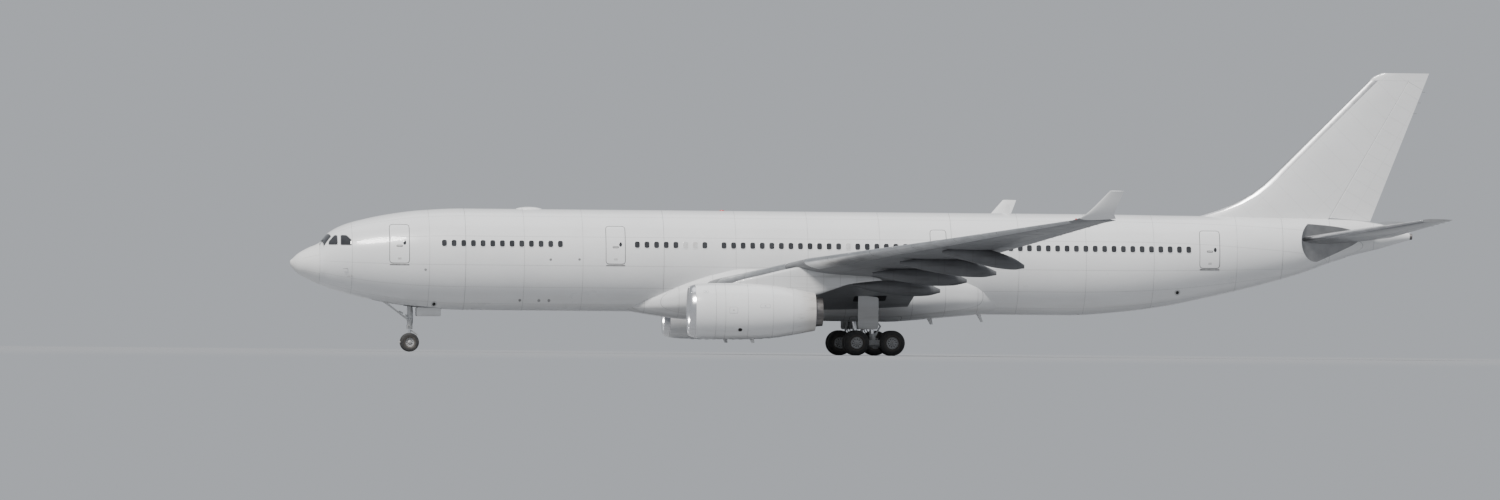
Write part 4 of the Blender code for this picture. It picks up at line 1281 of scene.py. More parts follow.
# The flight deck's panes: the windshield in (station, side), the side panes in (station, height)
WINDSHIELD = ((1.64, 0.035), (1.99, 0.035), (2.22, 0.97), (1.83, 1.13))
SIDE_PANES = (
    ((2.07, 0.73), (2.56, 0.73), (2.55, 1.26), (2.40, 1.26), (2.08, 0.90)),
    ((2.72, 0.72), (3.32, 0.72), (3.32, 1.00), (3.04, 1.27), (2.74, 1.27)),
)
PANE_FRAME = 0.030


def hull_top(sign):
    """A place function for plates on the upper hull, on stations and distances from the middle."""
    def place(station, side, lift):
        half = HULL_FLOW(sqrt(station))[2]
        return on_hull(station, sign * asin(max(-1.0, min(1.0, side / half))), lift)
    return place


def make_flight_deck():
    """The flight deck's panes in their frames, with the wipers parked at the windshield's foot."""
    frames, panes, wipers = bmesh.new(), bmesh.new(), bmesh.new()
    for sign in (-1, 1):
        panels = [(hull_top(sign), WINDSHIELD, 0.05)]
        panels += [(hull_side(sign), outline, 0.07) for outline in SIDE_PANES]
        for place, outline, radius in panels:
            whole = divided(rounded(outline, radius), 0.10)
            plate(frames, grown(whole, PANE_FRAME), place, ((0.0, 0.0), (0.012, 0.010)), fill=5)
            plate(panes, whole, place, ((0.0, 0.012), (0.010, 0.016)), fill=6)
        place = hull_top(sign)
        arm = [place(1.60, 0.62, 0.030), place(1.66, 0.60, 0.040), place(1.80, 0.50, 0.035)]
        blade = [place(x, y, 0.026) for x, y in ((1.69, 0.22), (1.76, 0.45), (1.84, 0.72))]
        tube(wipers, curved(arm), 0.010)
        tube(wipers, curved(blade), 0.008)
    piece("flight_deck_frames", frames, FITTING_PAINT)
    piece("flight_deck_panes", panes, DECK_GLASS)
    piece("wipers", wipers, SEAL_RUBBER)


# Belly fairing: station, half width, half height, height of its middle
BELLY = (
    (18.70, 1.00, 0.30, -2.48),
    (20.35, 2.30, 0.74, -2.30),
    (22.00, 3.00, 1.22, -2.00),
    (23.50, 3.32, 1.50, -1.76),
    (25.00, 3.42, 1.66, -1.60),
    (33.00, 3.42, 1.66, -1.60),
    (36.00, 3.14, 1.44, -1.60),
    (38.00, 2.60, 1.10, -1.75),
    (39.40, 1.50, 0.70, -1.95),
)
BELLY_POWER = 2.6
BELLY_FLOW = Flow([row[0] for row in BELLY], [row[1:] for row in BELLY])
BELLY_SIDES = 88


def on_belly(station, turn, lift=0.0):
    """A point of the belly fairing; the turn is measured from straight down towards starboard."""
    half_width, half_height, middle = BELLY_FLOW(station)
    s, c = sin(turn), cos(turn)
    across = copysign(abs(s) ** (2 / BELLY_POWER), s) * (half_width + lift)
    down = copysign(abs(c) ** (2 / BELLY_POWER), c) * (half_height + lift)
    return at(station, across, middle - down)


def belly_place(station, arc, lift):
    """A place function for plates under the belly, on stations and distances from the middle."""
    half_width, half_height, middle = BELLY_FLOW(station)
    share = min(0.999, abs(arc) / half_width) ** BELLY_POWER
    down = (1 - share) ** (1 / BELLY_POWER) * half_height + lift
    return at(station, arc, middle - down)


def make_belly():
    """The fairing under the wing's middle, the gear bay doors and the air system's scoops."""
    bm = bmesh.new()
    stations = steps(BELLY[0][0], BELLY[-1][0], 64)
    turns = [2 * pi * (i + 0.5) / BELLY_SIDES for i in range(BELLY_SIDES)]
    loft(bm, [[on_belly(x, t) for t in turns] for x in stations])
    piece("belly_fairing_skin", bm, BELLY_PAINT, "white_paint", ("belly_fairing",), sharp=40)

    doors, seals, scoops, dark = (bmesh.new() for _ in range(4))
    for sign in (-1, 1):
        bay = divided(patch(31.0, sign * 0.12, 33.9, sign * 2.30, 0.10), 0.3)
        plate(seals, bay, belly_place, ((0.0, 0.003), (0.004, 0.004)), fill=6)
        plate(doors, shrunk(bay, 0.02), belly_place, ((0.0, 0.006), (0.010, 0.012)), fill=8)
        # The scoops' mouths are dark plates of painted shade.
        inlet = divided(patch(22.3, sign * 0.80, 23.2, sign * 1.25, 0.10), 0.2)
        plate(dark, inlet, belly_place, ((0.0, 0.004), (0.004, 0.006)))
        frame_strip(scoops, inlet, belly_place, -0.05, 0.03)
        outlet = divided(patch(27.6, sign * 0.70, 28.3, sign * 1.40, 0.06), 0.2)
        plate(dark, outlet, belly_place, ((0.0, 0.004), (0.004, 0.006)))
        for station in steps(27.68, 28.22, 6):
            slat = patch(station - 0.02, sign * 0.72, station + 0.02, sign * 1.38, 0.01)
            plate(scoops, slat, belly_place, ((0.0, 0.010), (0.005, 0.020)), fill=2)
    piece("gear_bay_doors", doors, BELLY_PAINT, "white_paint")
    piece("gear_bay_seals", seals, SEAL_RUBBER)
    piece("belly_scoops", scoops, HULL_PAINT, "white_paint")
    piece("belly_openings", dark, HOLLOW_SHADE)


# Aerials, probes and drains

def blade_aerial(bm, foot, out, aft, height, chord, sweep, tip_share=0.45, thick=0.09):
    """A thin swept blade that stands on a surface."""
    across = out.cross(aft).normalized()
    rows = []
    for share in (-0.08, 0.0, 0.25, 0.5, 0.75, 0.93, 1.0):
        length = chord * (1 - (1 - tip_share) * max(share, 0.0))
        length *= 0.9 if share == 1.0 else 1.0
        front = foot + out * height * share * SCALE + aft * sweep * max(share, 0.0) * SCALE
        row = []
        for turn in full_turn(16):
            along = (1 - cos(turn)) / 2
            half = thick * length * 0.5 * sin(turn) * (1.3 - 0.6 * along)
            row.append(front + aft * along * length * SCALE + across * half * SCALE)
        rows.append(row)
    return loft(bm, rows)


UP = Vector((0, 0, 1))
DOWN = Vector((0, 0, -1))
AFT = Vector((1, 0, 0))
HUMP = (12.55, 13.95, 0.42, 0.13)
# Station, height of the blade, chord and sweep
CROWN_AERIAL = (39.62, 0.50, 0.42, 0.26)
BELLY_MASTS = ((35.50, 0.30, 0.28, 0.16), (38.25, 0.42, 0.24, 0.24))


def make_hump():
    """The low blister over an aerial on the crown."""
    start, end, half, rise = HUMP
    rows = []
    for share in steps(0.0, 1.0, 24):
        x = start + share * (end - start)
        full = sin(pi * min(max(share, 0.02), 0.98)) ** 0.5
        row = []
        for t in steps(-1, 1, 16):
            lift = rise * full * (1 - t * t) ** 0.8
            row.append(hull_round(x, t * half * full, lift - 0.004))
        under = [hull_round(x, t * half * full, -0.03) for t in steps(1, -1, 16)]
        rows.append(row + under)
    bm = loft(bmesh.new(), rows)
    piece("crown_blister", bm, HULL_PAINT, "white_paint", sharp=60)


def make_aerials():
    """The blade aerial on the crown, the belly's drain masts, air data probes and ports."""
    blades, metal = bmesh.new(), bmesh.new()
    station, *shape = CROWN_AERIAL
    blade_aerial(blades, on_hull(station, 0.0), UP, AFT, *shape)
    for station, height, chord, sweep in BELLY_MASTS:
        foot = belly_place(station, 0.0, 0.0)
        blade_aerial(blades, foot, DOWN, AFT, height, chord, sweep, tip_share=0.6, thick=0.2)
    for sign in (-1, 1):
        place = hull_side(sign)
        for station, height in ((3.10, -0.55), (3.35, -0.95)):
            out, aft = outward_at(place, station, height)
            root = place(station, height, 0.0)
            mast = [root - out * 0.01, root + out * 0.04, root + out * 0.055 - aft * 0.03]
            tube(metal, curved(mast) + [mast[-1] - aft * 0.09], 0.016)
        for station, height in ((7.38, -0.60), (14.30, 0.02), (15.90, 0.04)):
            plate(metal, circle(station, height, 0.07), place, ((0.0, 0.003), (0.01, 0.008)), fill=2)
        for station in (12.68, 13.74, 14.30):
            plate(metal, circle(station, -2.25, 0.08), place, ((0.0, 0.003), (0.01, 0.008)), fill=2)
    piece("aerials", blades, HULL_PAINT, "white_paint", sharp=50)
    piece("probes_and_ports", metal, WORN_METAL)


# Lights

def lens(bm, foot, out, along, length, half, rise):
    """A smooth oval lens on a surface."""
    across = out.cross(along).normalized()
    rows = []
    for share in steps(0, 1, 6):
        level = cos(share * pi / 2)
        lift = sin(share * pi / 2) * rise
        row = []
        for t in full_turn(20):
            row.append(foot + (along * cos(t) * length * level + across * sin(t) * half * level
                               + out * lift) * SCALE)
        rows.append(row)
    rows.insert(0, [point - out * 0.01 for point in rows[0]])
    return loft(bm, rows)


def make_beacons():
    """The red flashing lamps on the crown and under the belly."""
    bm = bmesh.new()
    lens(bm, on_hull(24.0, 0.0), UP, AFT, 0.14, 0.09, 0.05)
    lens(bm, belly_place(26.0, 0.0, 0.0), DOWN, AFT, 0.14, 0.09, 0.06)
    piece("beacons", bm, RED_LENS)


# Wings

# Side, leading edge station, chord, leading edge height, incidence in degrees, thickness ratio
WING = (
    (1.60, 21.84, 12.20, -1.70, 5.2, 0.140),
    (2.82, 22.70, 11.45, -1.45, 5.0, 0.140),
    (9.90, 27.67, 7.06, -0.04, 4.0, 0.115),
    (20.20, 34.90, 4.17, 1.19, 3.3, 0.105),
    (28.50, 40.65, 1.75, 2.22, 3.0, 0.100),
    (29.10, 41.05, 1.95, 2.36, 2.6, 0.090),
)
TAILPLANE = (
    (0.90, 56.35, 5.00, 1.52, -2.0, 0.105),
    (9.70, 61.94, 1.75, 2.55, -2.0, 0.095),
)
EDGE_SHARE = 0.0035
SLAT_SHARE = 0.12
FLAP_CHORDS = ((2.82, 2.15), (9.90, 1.75), (20.20, 1.10))
INNER_SLAT = (3.90, 8.70)
OUTER_SLAT = (10.05, 28.30)
INNER_FLAP = (3.75, 9.20)
OUTER_FLAP = (9.30, 19.95)
AILERON_LINE = 0.74
AILERONS = (("inner", (20.50, 24.10)), ("outer", (24.36, 28.10)))
SLAT_BREAKS = (10.05, 13.10, 16.15, 19.20, 22.25, 25.30, 28.30)
WING_ROOT = 2.40
WING_TIP = 29.10
NOSE_SHARE = 0.965
RUNNING = 0.011
GAP = 0.006


def row_at(rows, side):
    """A surface's sizes at a side, between its given rows."""
    columns = list(zip(*rows))
    return [float(numpy.interp(side, columns[0], column)) for column in columns]


def spread(x):
    """Half a wing section's thickness at a fraction of its chord, as a share of the full one."""
    return 0.5 * (2.969 * sqrt(x) - 1.260 * x - 3.516 * x ** 2 + 2.843 * x ** 3 - 1.010 * x ** 4)


def airfoil(rows, sign):
    """A surface function: a plan point (station, side) and a face (1 top, -1 bottom) give its point."""
    def surface(station, side, face, lift=0.0):
        _, front, chord, height, incidence, thickness = row_at(rows, side)
        slope = radians(incidence)
        along = (station - front) / cos(slope)
        up = 0.0
        for _ in range(3):
            x = min(max(along / chord, 0.0), 1.0)
            up = face * (spread(x) * thickness + EDGE_SHARE * x) * chord + face * lift
            along = (station - front - up * sin(slope)) / cos(slope)
        along = min(max(along, 0.0), chord)
        return at(front + along * cos(slope) + up * sin(slope), sign * side,
                  height - along * sin(slope) + up * cos(slope))
    return surface


def sheet_of(surface, fore, aft, shares, face):
    """Rows of points between a fore and an aft line in the plan."""
    return [[surface(a[0] + (b[0] - a[0]) * s, a[1] + (b[1] - a[1]) * s, face) for s in shares]
            for a, b in zip(fore, aft)]


def panel(bm, surface, fore, aft, count=8, round_front=False, front_nose=False, cove=0.0):
    """A closed part of a wing between two plan lines.

    Round_front crowds the points at a leading edge. Front_nose gives the part a half-round nose
    ahead of the fore line, as on a control surface. Cove is the radius of the nose that the part
    behind it turns in: thin lips run on over it, as far as the aft line.
    """
    shares = [(i / count) ** (2 if round_front else 1) for i in range(count + 1)]
    top = sheet_of(surface, fore, aft, shares, 1)
    bottom = sheet_of(surface, fore, aft, shares, -1)
    rows = []
    for upper, lower in zip(top, bottom):
        row = list(upper)
        if cove:
            row += cove_points(upper, lower, cove)
        row += reversed(lower)
        if front_nose:
            row += nose_points(upper[0], lower[0], upper[1])
        rows.append(row)
    if round_front:
        rows = [row[:-1] for row in rows]
    return loft(bm, rows)


NOSE_STEPS = 7
LIP_THICKNESS = 0.012


def nose_points(upper, lower, behind):
    """The half-round front of a control surface, from its lower to its upper edge."""
    middle, half = (upper + lower) / 2, (upper - lower) / 2
    ahead = (upper - behind).normalized()
    ahead = (ahead - half.normalized() * ahead.dot(half.normalized())).normalized()
    turns = steps(-pi / 2, pi / 2, NOSE_STEPS)
    radius = half.length * NOSE_SHARE
    return [middle + half * NOSE_SHARE * sin(t) + ahead * radius * cos(t) for t in turns]


def cove_points(upper, lower, depth):
    """The hollow back of a fixed part: its upper lip's edge, the wall inside and the lower lip."""
    points = []
    for edge, inner, sign in ((upper[-1], upper[-2], -1), (lower[-1], lower[-2], 1)):
        inward = (lower[-1] - upper[-1]).normalized() * -sign
        back = (inner - edge).normalized()
        lip = edge + inward * LIP_THICKNESS * SCALE
        wall = lip + back * depth * SCALE
        points.append([lip, wall])
    return points[0] + list(reversed(points[1]))


def line_at(sides, station_of, shift=0.0):
    """A plan line over some sides, at the station that a function gives."""
    return [(station_of(side) + shift, side) for side in sides]


def between(first, last, longest=0.8):
    """Sides from first to last, no further apart than that, with the wing's kink and joints."""
    marks = sorted({first, last} | {row[0] for row in WING if first < row[0] < last})
    sides = [first]
    for a, b in zip(marks, marks[1:]):
        sides += steps(a, b, max(1, ceil((b - a) / longest)))[1:]
    return sides


def leading_edge(side):
    return row_at(WING, side)[1]


def trailing_edge(side):
    _, front, chord, _, incidence, _ = row_at(WING, side)
    return front + chord * cos(radians(incidence))


def slat_line(side):
    _, front, chord, *_ = row_at(WING, side)
    return front + SLAT_SHARE * chord


def flap_line(side):
    _, front, chord, *_ = row_at(WING, side)
    return front + chord - float(numpy.interp(side, *zip(*FLAP_CHORDS)))


class Hinge:
    """A control surface's hinge line in the plan, with its nose's radii and ends square to it."""

    def __init__(self, start, end, radii, trailing):
        self.start, self.radii, self.trailing = start, radii, trailing
        self.length = dist(start, end)
        self.along = [(b - a) / self.length for a, b in zip(start, end)]
        self.back = (self.along[1], -self.along[0])

    def radius(self, share):
        return self.radii[0] + (self.radii[1] - self.radii[0]) * share

    def offset(self, share, back, over=0.0):
        """A plan point at a share of the hinge's length, some way behind it and past its end."""
        reach = share * self.length + (over if share > 0.5 else -over)
        return tuple(self.start[i] + self.along[i] * reach + self.back[i] * back for i in (0, 1))

    def to_edge(self, share, over=0.0):
        """The plan point where the line square to the hinge meets the trailing edge."""
        low, high = 0.0, 4.0
        for _ in range(30):
            middle = (low + high) / 2
            station, side = self.offset(share, middle, over)
            low, high = (middle, high) if station < self.trailing(side) else (low, middle)
        return self.offset(share, low, over)

    def fixed_edge(self, share):
        """The fixed edge beside the surface's end, from its fore to its aft plan point."""
        return [self.offset(share, -self.radius(share) * LIP_REACH, RUNNING), self.to_edge(share, RUNNING)]

    def cove(self):
        """How far the hollow that the nose turns in reaches ahead of the lips."""
        return max(self.radii) * (1 - LIP_REACH) + 2 * RUNNING


LIP_REACH = 0.35


def hinge_on(rows, line, sides, trailing):
    """A hinge along a fraction of a wing's chord, with the nose as thick as the wing is there."""
    ends, radii = [], []
    for side in sides:
        _, front, chord, _, incidence, thickness = row_at(rows, side)
        ends.append((front + line * chord * cos(radians(incidence)), side))
        radii.append(spread(line) * thickness * chord + EDGE_SHARE * chord * line)
    return Hinge(*ends, radii, trailing)


def blend_points(near, far, share):
    return tuple(a + (b - a) * share for a, b in zip(near, far))


def control_surface(surface, hinge, count=6):
    """A control surface behind its hinge, with a half-round nose and ends square to the hinge."""
    shares = steps(0, 1, 10)
    fore = [hinge.offset(share, 0.0) for share in shares]
    aft = [blend_points(hinge.to_edge(0), hinge.to_edge(1), share) for share in shares]
    return panel(bmesh.new(), surface, fore, aft, count, front_nose=True)


def fixed_between(bm, surface, near, far, count=5):
    """A fixed trailing part between two edges, each a fore and an aft plan point."""
    shares = steps(0, 1, 4)
    fore, aft = ([blend_points(near[i], far[i], share) for share in shares] for i in (0, 1))
    panel(bm, surface, fore, aft, count)


def around_hinges(bm, surface, hinges, inner, outer, front, count=12):
    """The box ahead of some control surfaces, hollowed for their noses, and the fixed parts beside them.

    Inner and outer are the stretch's end edges, each a fore and an aft plan point, and front is the
    function that gives the box's fore line.
    """
    edges = [inner]
    for hinge in hinges:
        edges += [hinge.fixed_edge(0.0), hinge.fixed_edge(1.0)]
    edges.append(outer)
    for i, (near, far) in enumerate(zip(edges, edges[1:])):
        aft = [blend_points(near[0], far[0], share) for share in steps(0, 1, 8)]
        fore = [(front(side), side) for _, side in aft]
        over_nose = i % 2 == 1
        panel(bm, surface, fore, aft, count, cove=hinges[i // 2].cove() if over_nose else 0.0)
        if not over_nose:
            fixed_between(bm, surface, near, far)


FLAP_END = OUTER_FLAP[1] + 0.15


def make_wing_box(word, sign, surface, hinges):
    """The fixed wing: its leading parts between the slats, its box and its fixed trailing parts."""
    bm = bmesh.new()
    for first, last in ((WING_ROOT, INNER_SLAT[0] - GAP), (INNER_SLAT[1] + GAP, OUTER_SLAT[0] - GAP),
                        (OUTER_SLAT[1] + GAP, WING_TIP)):
        sides = between(first, last)
        panel(bm, surface, line_at(sides, leading_edge), line_at(sides, slat_line), 9, round_front=True)
    sides = between(WING_ROOT, FLAP_END)
    panel(bm, surface, line_at(sides, slat_line), line_at(sides, flap_line, -GAP), 14)
    for first, last in ((WING_ROOT, INNER_FLAP[0] - GAP), (INNER_FLAP[1] + GAP, OUTER_FLAP[0] - GAP),
                        (OUTER_FLAP[1] + GAP, FLAP_END)):
        sides = between(first, last)
        panel(bm, surface, line_at(sides, flap_line), line_at(sides, trailing_edge), 5)
    inner = [(flap_line(FLAP_END), FLAP_END), (trailing_edge(FLAP_END), FLAP_END)]
    outer = [(trailing_edge(WING_TIP) - 0.6, WING_TIP), (trailing_edge(WING_TIP), WING_TIP)]
    around_hinges(bm, surface, hinges, inner, outer, slat_line)
    piece("wing_box_" + word, bm, WING_GREY_AND_SHADE, "wing_grey", ("wing_" + word,), bevel=0.004)


def make_wing(word, sign):
    """One wing's fixed box, slats, flaps and ailerons, each a closed part with fine gaps."""
    surface = airfoil(WING, sign)
    hinges = [hinge_on(WING, AILERON_LINE, sides, trailing_edge) for _, sides in AILERONS]
    make_wing_box(word, sign, surface, hinges)

    slats = bmesh.new()
    for first, last in [INNER_SLAT] + list(zip(SLAT_BREAKS, SLAT_BREAKS[1:])):
        sides = between(first + GAP, last - GAP)
        panel(slats, surface, line_at(sides, leading_edge), line_at(sides, slat_line, -GAP), 10,
              round_front=True)
    piece("slats_" + word, slats, SLAT_METAL, "wing_grey",
          ("slat_inner_" + word, "slat_outer_" + word), bevel=0.004)

    flaps = bmesh.new()
    for first, last in (INNER_FLAP, OUTER_FLAP):
        sides = between(first + GAP, last - GAP)
        panel(flaps, surface, line_at(sides, flap_line, GAP), line_at(sides, trailing_edge), 7)
    piece("flaps_" + word, flaps, FLAP_GREY_AND_SHADE, "wing_grey",
          ("flap_inner_" + word, "flap_outer_" + word), bevel=0.004)

    for (place, _), hinge in zip(AILERONS, hinges):
        name = "aileron_%s_%s" % (place, word)
        bm = control_surface(surface, hinge)
        piece(name + "_skin", bm, FLAP_GREY_AND_SHADE, "wing_grey", (name,), bevel=0.003, body=name)


# Flap track fairings: side, start station and height, end station and height
CANOES = (
    (8.40, 30.60, -1.25, 35.45, -1.55),
    (11.80, 31.40, -0.65, 36.60, -1.00),
    (15.20, 32.60, -0.05, 37.90, -0.58),
    (18.60, 34.60, 0.55, 39.10, -0.22),
)
CANOE_SHAPE = Flow((0.0, 0.25, 0.60, 0.85, 1.0),
                   ((0.05, 0.07), (0.24, 0.34), (0.28, 0.46), (0.20, 0.34), (0.05, 0.10)))


def make_canoes(word, sign):
    """The fairings under the flap tracks, each with a rounded nose and a pointed tail."""
    bm = bmesh.new()
    for side, x0, z0, x1, z1 in CANOES:
        rows = []
        for share in steps(0, 1, 30):
            half_width, half_height = CANOE_SHAPE(share)
            x = x0 + share * (x1 - x0)
            z = z0 + share ** 1.5 * (z1 - z0)
            rows.append([at(x, sign * side + half_width * sin(t), z + half_height * cos(t))
                         for t in full_turn(28)])
        loft(bm, rows)
    piece("flap_track_fairings_" + word, bm, CANOE_GREY_AND_SHADE, "wing_grey")


# Winglet: side, leading edge station, chord, leading edge height, half thickness, lean in degrees
WINGLET = (
    (29.10, 41.07, 1.93, 2.36, 0.09, 0),
    (29.42, 41.40, 1.50, 2.62, 0.08, 48),
    (30.12, 42.58, 0.76, 3.84, 0.035, 66),
)
WINGLET_FLOW = Flow((0.0, 0.39, 1.79), WINGLET)


def section_outline(chord, thick, count=14):
    """A wing section as (distance along the chord, offset), from the trailing edge over the top."""
    outline = []
    shares = [0.5 * (1 - cos(pi * i / count)) for i in range(count + 1)]
    for sign, fractions in ((1, reversed(shares)), (-1, shares[1:])):
        for x in fractions:
            outline.append((x * chord, sign * (spread(x) * thick + EDGE_SHARE * chord * x)))
    return outline


def make_winglet(word, sign):
    """The canted fin at a wing's tip, which the wing curves up into."""
    rows = []
    for reach in steps(0, 1.79, 24):
        side, front, chord, height, half, lean = WINGLET_FLOW(reach)
        out, rise = -sin(radians(lean)), cos(radians(lean))
        rows.append([at(front + along, sign * (side + GAP + up * out), height + up * rise)
                     for along, up in section_outline(chord, 2 * half)])
    bm = loft(bmesh.new(), rows)
    nodes = ("winglet_" + word,)
    piece("winglet_skin_" + word, bm, PLAIN_WHITE, "white_paint", nodes, sharp=40)


# Tail

FIN_EDGE = (
    (2.30, 49.30),
    (2.80, 50.70),
    (3.08, 51.60),
    (3.48, 52.58),
    (3.99, 53.50),
    (4.72, 54.45),
    (5.30, 55.03),
    (10.62, 60.38),
    (10.84, 60.86),
)
FIN_FOOT = 2.80
FIN_TOP = 10.84
FIN_TRAILING = (60.35, 63.50)
FIN_RAKE = (FIN_TRAILING[1] - FIN_TRAILING[0]) / (FIN_TOP - FIN_FOOT)
FIN_SWEEP = (FIN_EDGE[-2][1] - FIN_EDGE[-3][1]) / (FIN_EDGE[-2][0] - FIN_EDGE[-3][0])
FIN_THICKNESS = 0.10
STRAIGHT_EDGE = tuple((z, FIN_EDGE[-3][1] + (z - FIN_EDGE[-3][0]) * FIN_SWEEP) for z in steps(5.6, 10.4, 8))
FIN_FLOW = Flow(*zip(*FIN_EDGE[:-2], *STRAIGHT_EDGE, *FIN_EDGE[-2:]))
RUDDER_FOOT = (58.04, 2.75)
RUDDER_HEAD = (62.36, 10.35)
RUDDER_RADII = (0.29, 0.115)
RUDDER_BASE = (57.99, 2.74)
FIN_CAP = 10.42


def fin_front(height):
    return float(FIN_FLOW(height)[0])


def fin_back(height):
    return FIN_TRAILING[0] + (height - FIN_FOOT) * FIN_RAKE


def fin_surface(station, height, face, lift=0.0):
    """A point of the fin's side, starboard where the face is 1."""
    front, back = fin_front(height), fin_back(height)
    straight = FIN_EDGE[-3][1] + (height - FIN_EDGE[-3][0]) * FIN_SWEEP
    x = min(max((station - front) / (back - front), 0.0), 1.0)
    half = spread(x) * FIN_THICKNESS * (back - straight) + EDGE_SHARE * (back - front) * x
    return at(station, face * (half + lift), height)


def make_fin():
    """The fin with its leading edge, its hollow back and its tip, and the rudder."""
    hinge = Hinge(RUDDER_FOOT, RUDDER_HEAD, RUDDER_RADII, fin_back)
    lips = [hinge.offset(share, -hinge.radius(share) * LIP_REACH) for share in steps(0, 1, 24)]
    foot = hinge.offset(-0.05, -hinge.radius(0) * LIP_REACH)
    lips = [foot] + lips
    bm = bmesh.new()
    edge = bmesh.new()
    split = 0.45
    heights = [2.45, 2.80, 3.10, 3.50, 4.0, 4.5, 5.0, 5.5] + steps(6.0, FIN_CAP, 12)
    fore = [(fin_front(h), h) for h in heights]
    behind = [(fin_front(h) + split, h) for h in heights]
    panel(edge, fin_surface, fore, [(x - GAP, h) for x, h in behind], 10, round_front=True)
    back = [fin_point(lips, h) for h in heights]
    panel(bm, fin_surface, behind, back, 16, cove=hinge.cove())
    fixed_between(bm, fin_surface, hinge.fixed_edge(1.0), [(fin_point(lips, FIN_CAP)[0], FIN_CAP),
                                                           (fin_back(FIN_CAP), FIN_CAP)])
    heights = [FIN_CAP + GAP, 10.50, 10.62, 10.70, 10.78, FIN_TOP]
    tip_fore = [(fin_front(h), h) for h in heights]
    tip_aft = [(fin_back(h), h) for h in heights]
    panel(bm, fin_surface, tip_fore, tip_aft, 20, round_front=True)
    piece("fin_skin", bm, FIN_PAINT, "white_paint", ("fin",), bevel=0.004)
    piece("fin_leading_edge", edge, BARE_EDGE, bevel=0.004)

    shares = steps(0, 1, 20)
    fore = [blend_points(RUDDER_BASE, RUDDER_HEAD, share) for share in shares]
    base_end = (fin_back(2.56), 2.56)
    aft = [blend_points(base_end, hinge.to_edge(1.0), share) for share in shares]
    rudder = panel(bmesh.new(), fin_surface, fore, aft, 8, front_nose=True)
    piece("rudder_skin", rudder, RUDDER_PAINT, "white_paint", ("rudder",), bevel=0.004, body="rudder")


def fin_point(line, height):
    """The point of a side view line at a height."""
    stations, heights = zip(*line)
    return float(numpy.interp(height, heights, stations)), height


PIVOT_STATION = 59.00
PIVOT_HEIGHT = 1.62
TAIL_ROOT_SIDE = 0.90
ELEVATOR_LINE = 0.70
ELEVATOR_SIDES = (1.60, 9.30)
TAIL_TIP = 9.70


def tail_edge(share):
    """The function that gives a tailplane line's station at a side, at a fraction of its chord."""
    def station(side):
        _, front, chord, _, incidence, _ = row_at(TAILPLANE, side)
        return front + share * chord * cos(radians(incidence))
    return station


def make_tailplane(word, sign):
    """One half of the tailplane, which trims as a whole, and its elevator."""
    surface = airfoil(TAILPLANE, sign)
    hinge = hinge_on(TAILPLANE, ELEVATOR_LINE, ELEVATOR_SIDES, tail_edge(1.0))
    root = TAIL_ROOT_SIDE + RUNNING
    edge, bm = bmesh.new(), bmesh.new()
    sides = steps(root, TAIL_TIP, 12)
    panel(edge, surface, line_at(sides, tail_edge(0.0)), line_at(sides, tail_edge(0.06), -GAP), 9,
          round_front=True)
    front = tail_edge(0.06)
    inner = [(tail_edge(0.63)(root), root), (tail_edge(1.0)(root), root)]
    outer = [(tail_edge(0.66)(TAIL_TIP), TAIL_TIP), (tail_edge(1.0)(TAIL_TIP), TAIL_TIP)]
    around_hinges(bm, surface, [hinge], inner, outer, front, 14)
    rod(bm, at(PIVOT_STATION, sign * 0.05, PIVOT_HEIGHT), at(PIVOT_STATION, sign * 1.0, PIVOT_HEIGHT), 0.12)
    piece("tailplane_skin_" + word, bm, TAIL_GREY_AND_SHADE, "white_paint", ("tailplane_" + word,),
          bevel=0.004, body="tailplane")
    piece("tailplane_leading_edge_" + word, edge, BARE_EDGE, bevel=0.004, body="tailplane")
    name = "elevator_" + word
    piece(name + "_skin", control_surface(surface, hinge), TAIL_GREY_AND_SHADE, "white_paint", (name,),
          bevel=0.003, body=name)


# Engines

ENGINE_SIDE = 9.37
ENGINE_HEIGHT = -2.77
ENGINE_SIDES = 96
INLET_END = 22.90
FAN_COWL_END = 24.67
SLEEVE_END = 27.18
COWL_FLOW = Flow((21.45, 21.56, 21.85, 22.30, 22.90, 23.80, 24.67, 25.90, 27.18, 28.45),
                 (1.310, 1.400, 1.480, 1.520, 1.538, 1.550, 1.540, 1.470, 1.285, 1.035))
LIP_END = 21.80
LIP = ((21.80, 1.466), (21.62, 1.418), (21.50, 1.362), (21.455, 1.312), (21.47, 1.268), (21.56, 1.222),
       (21.72, 1.192), (21.90, 1.182))
DUCT = ((21.90, 1.182), (22.10, 1.186), (22.40, 1.205), (22.70, 1.232), (22.90, 1.242))
FAN_DUCT = 1.25
NOZZLE_INNER = ((28.45, 0.985), (28.00, 1.045), (27.20, 1.15), (26.00, 1.22), (24.67, 1.26))
FAN_STATION = 23.21
FAN_RADIUS = 1.225
HUB_RADIUS = 0.36
BLADES = 18
SEAM = 0.005


def cowl_profile(start, end, count):
    """Points of the cowl's outer line, pulled in a little at both ends for the seam."""
    points = [(x, float(COWL_FLOW(x)[0])) for x in steps(start + SEAM, end - SEAM, count)]
    first, last = points[0], points[-1]
    return [(first[0], first[1] - 0.008)] + points + [(last[0], last[1] - 0.008)]


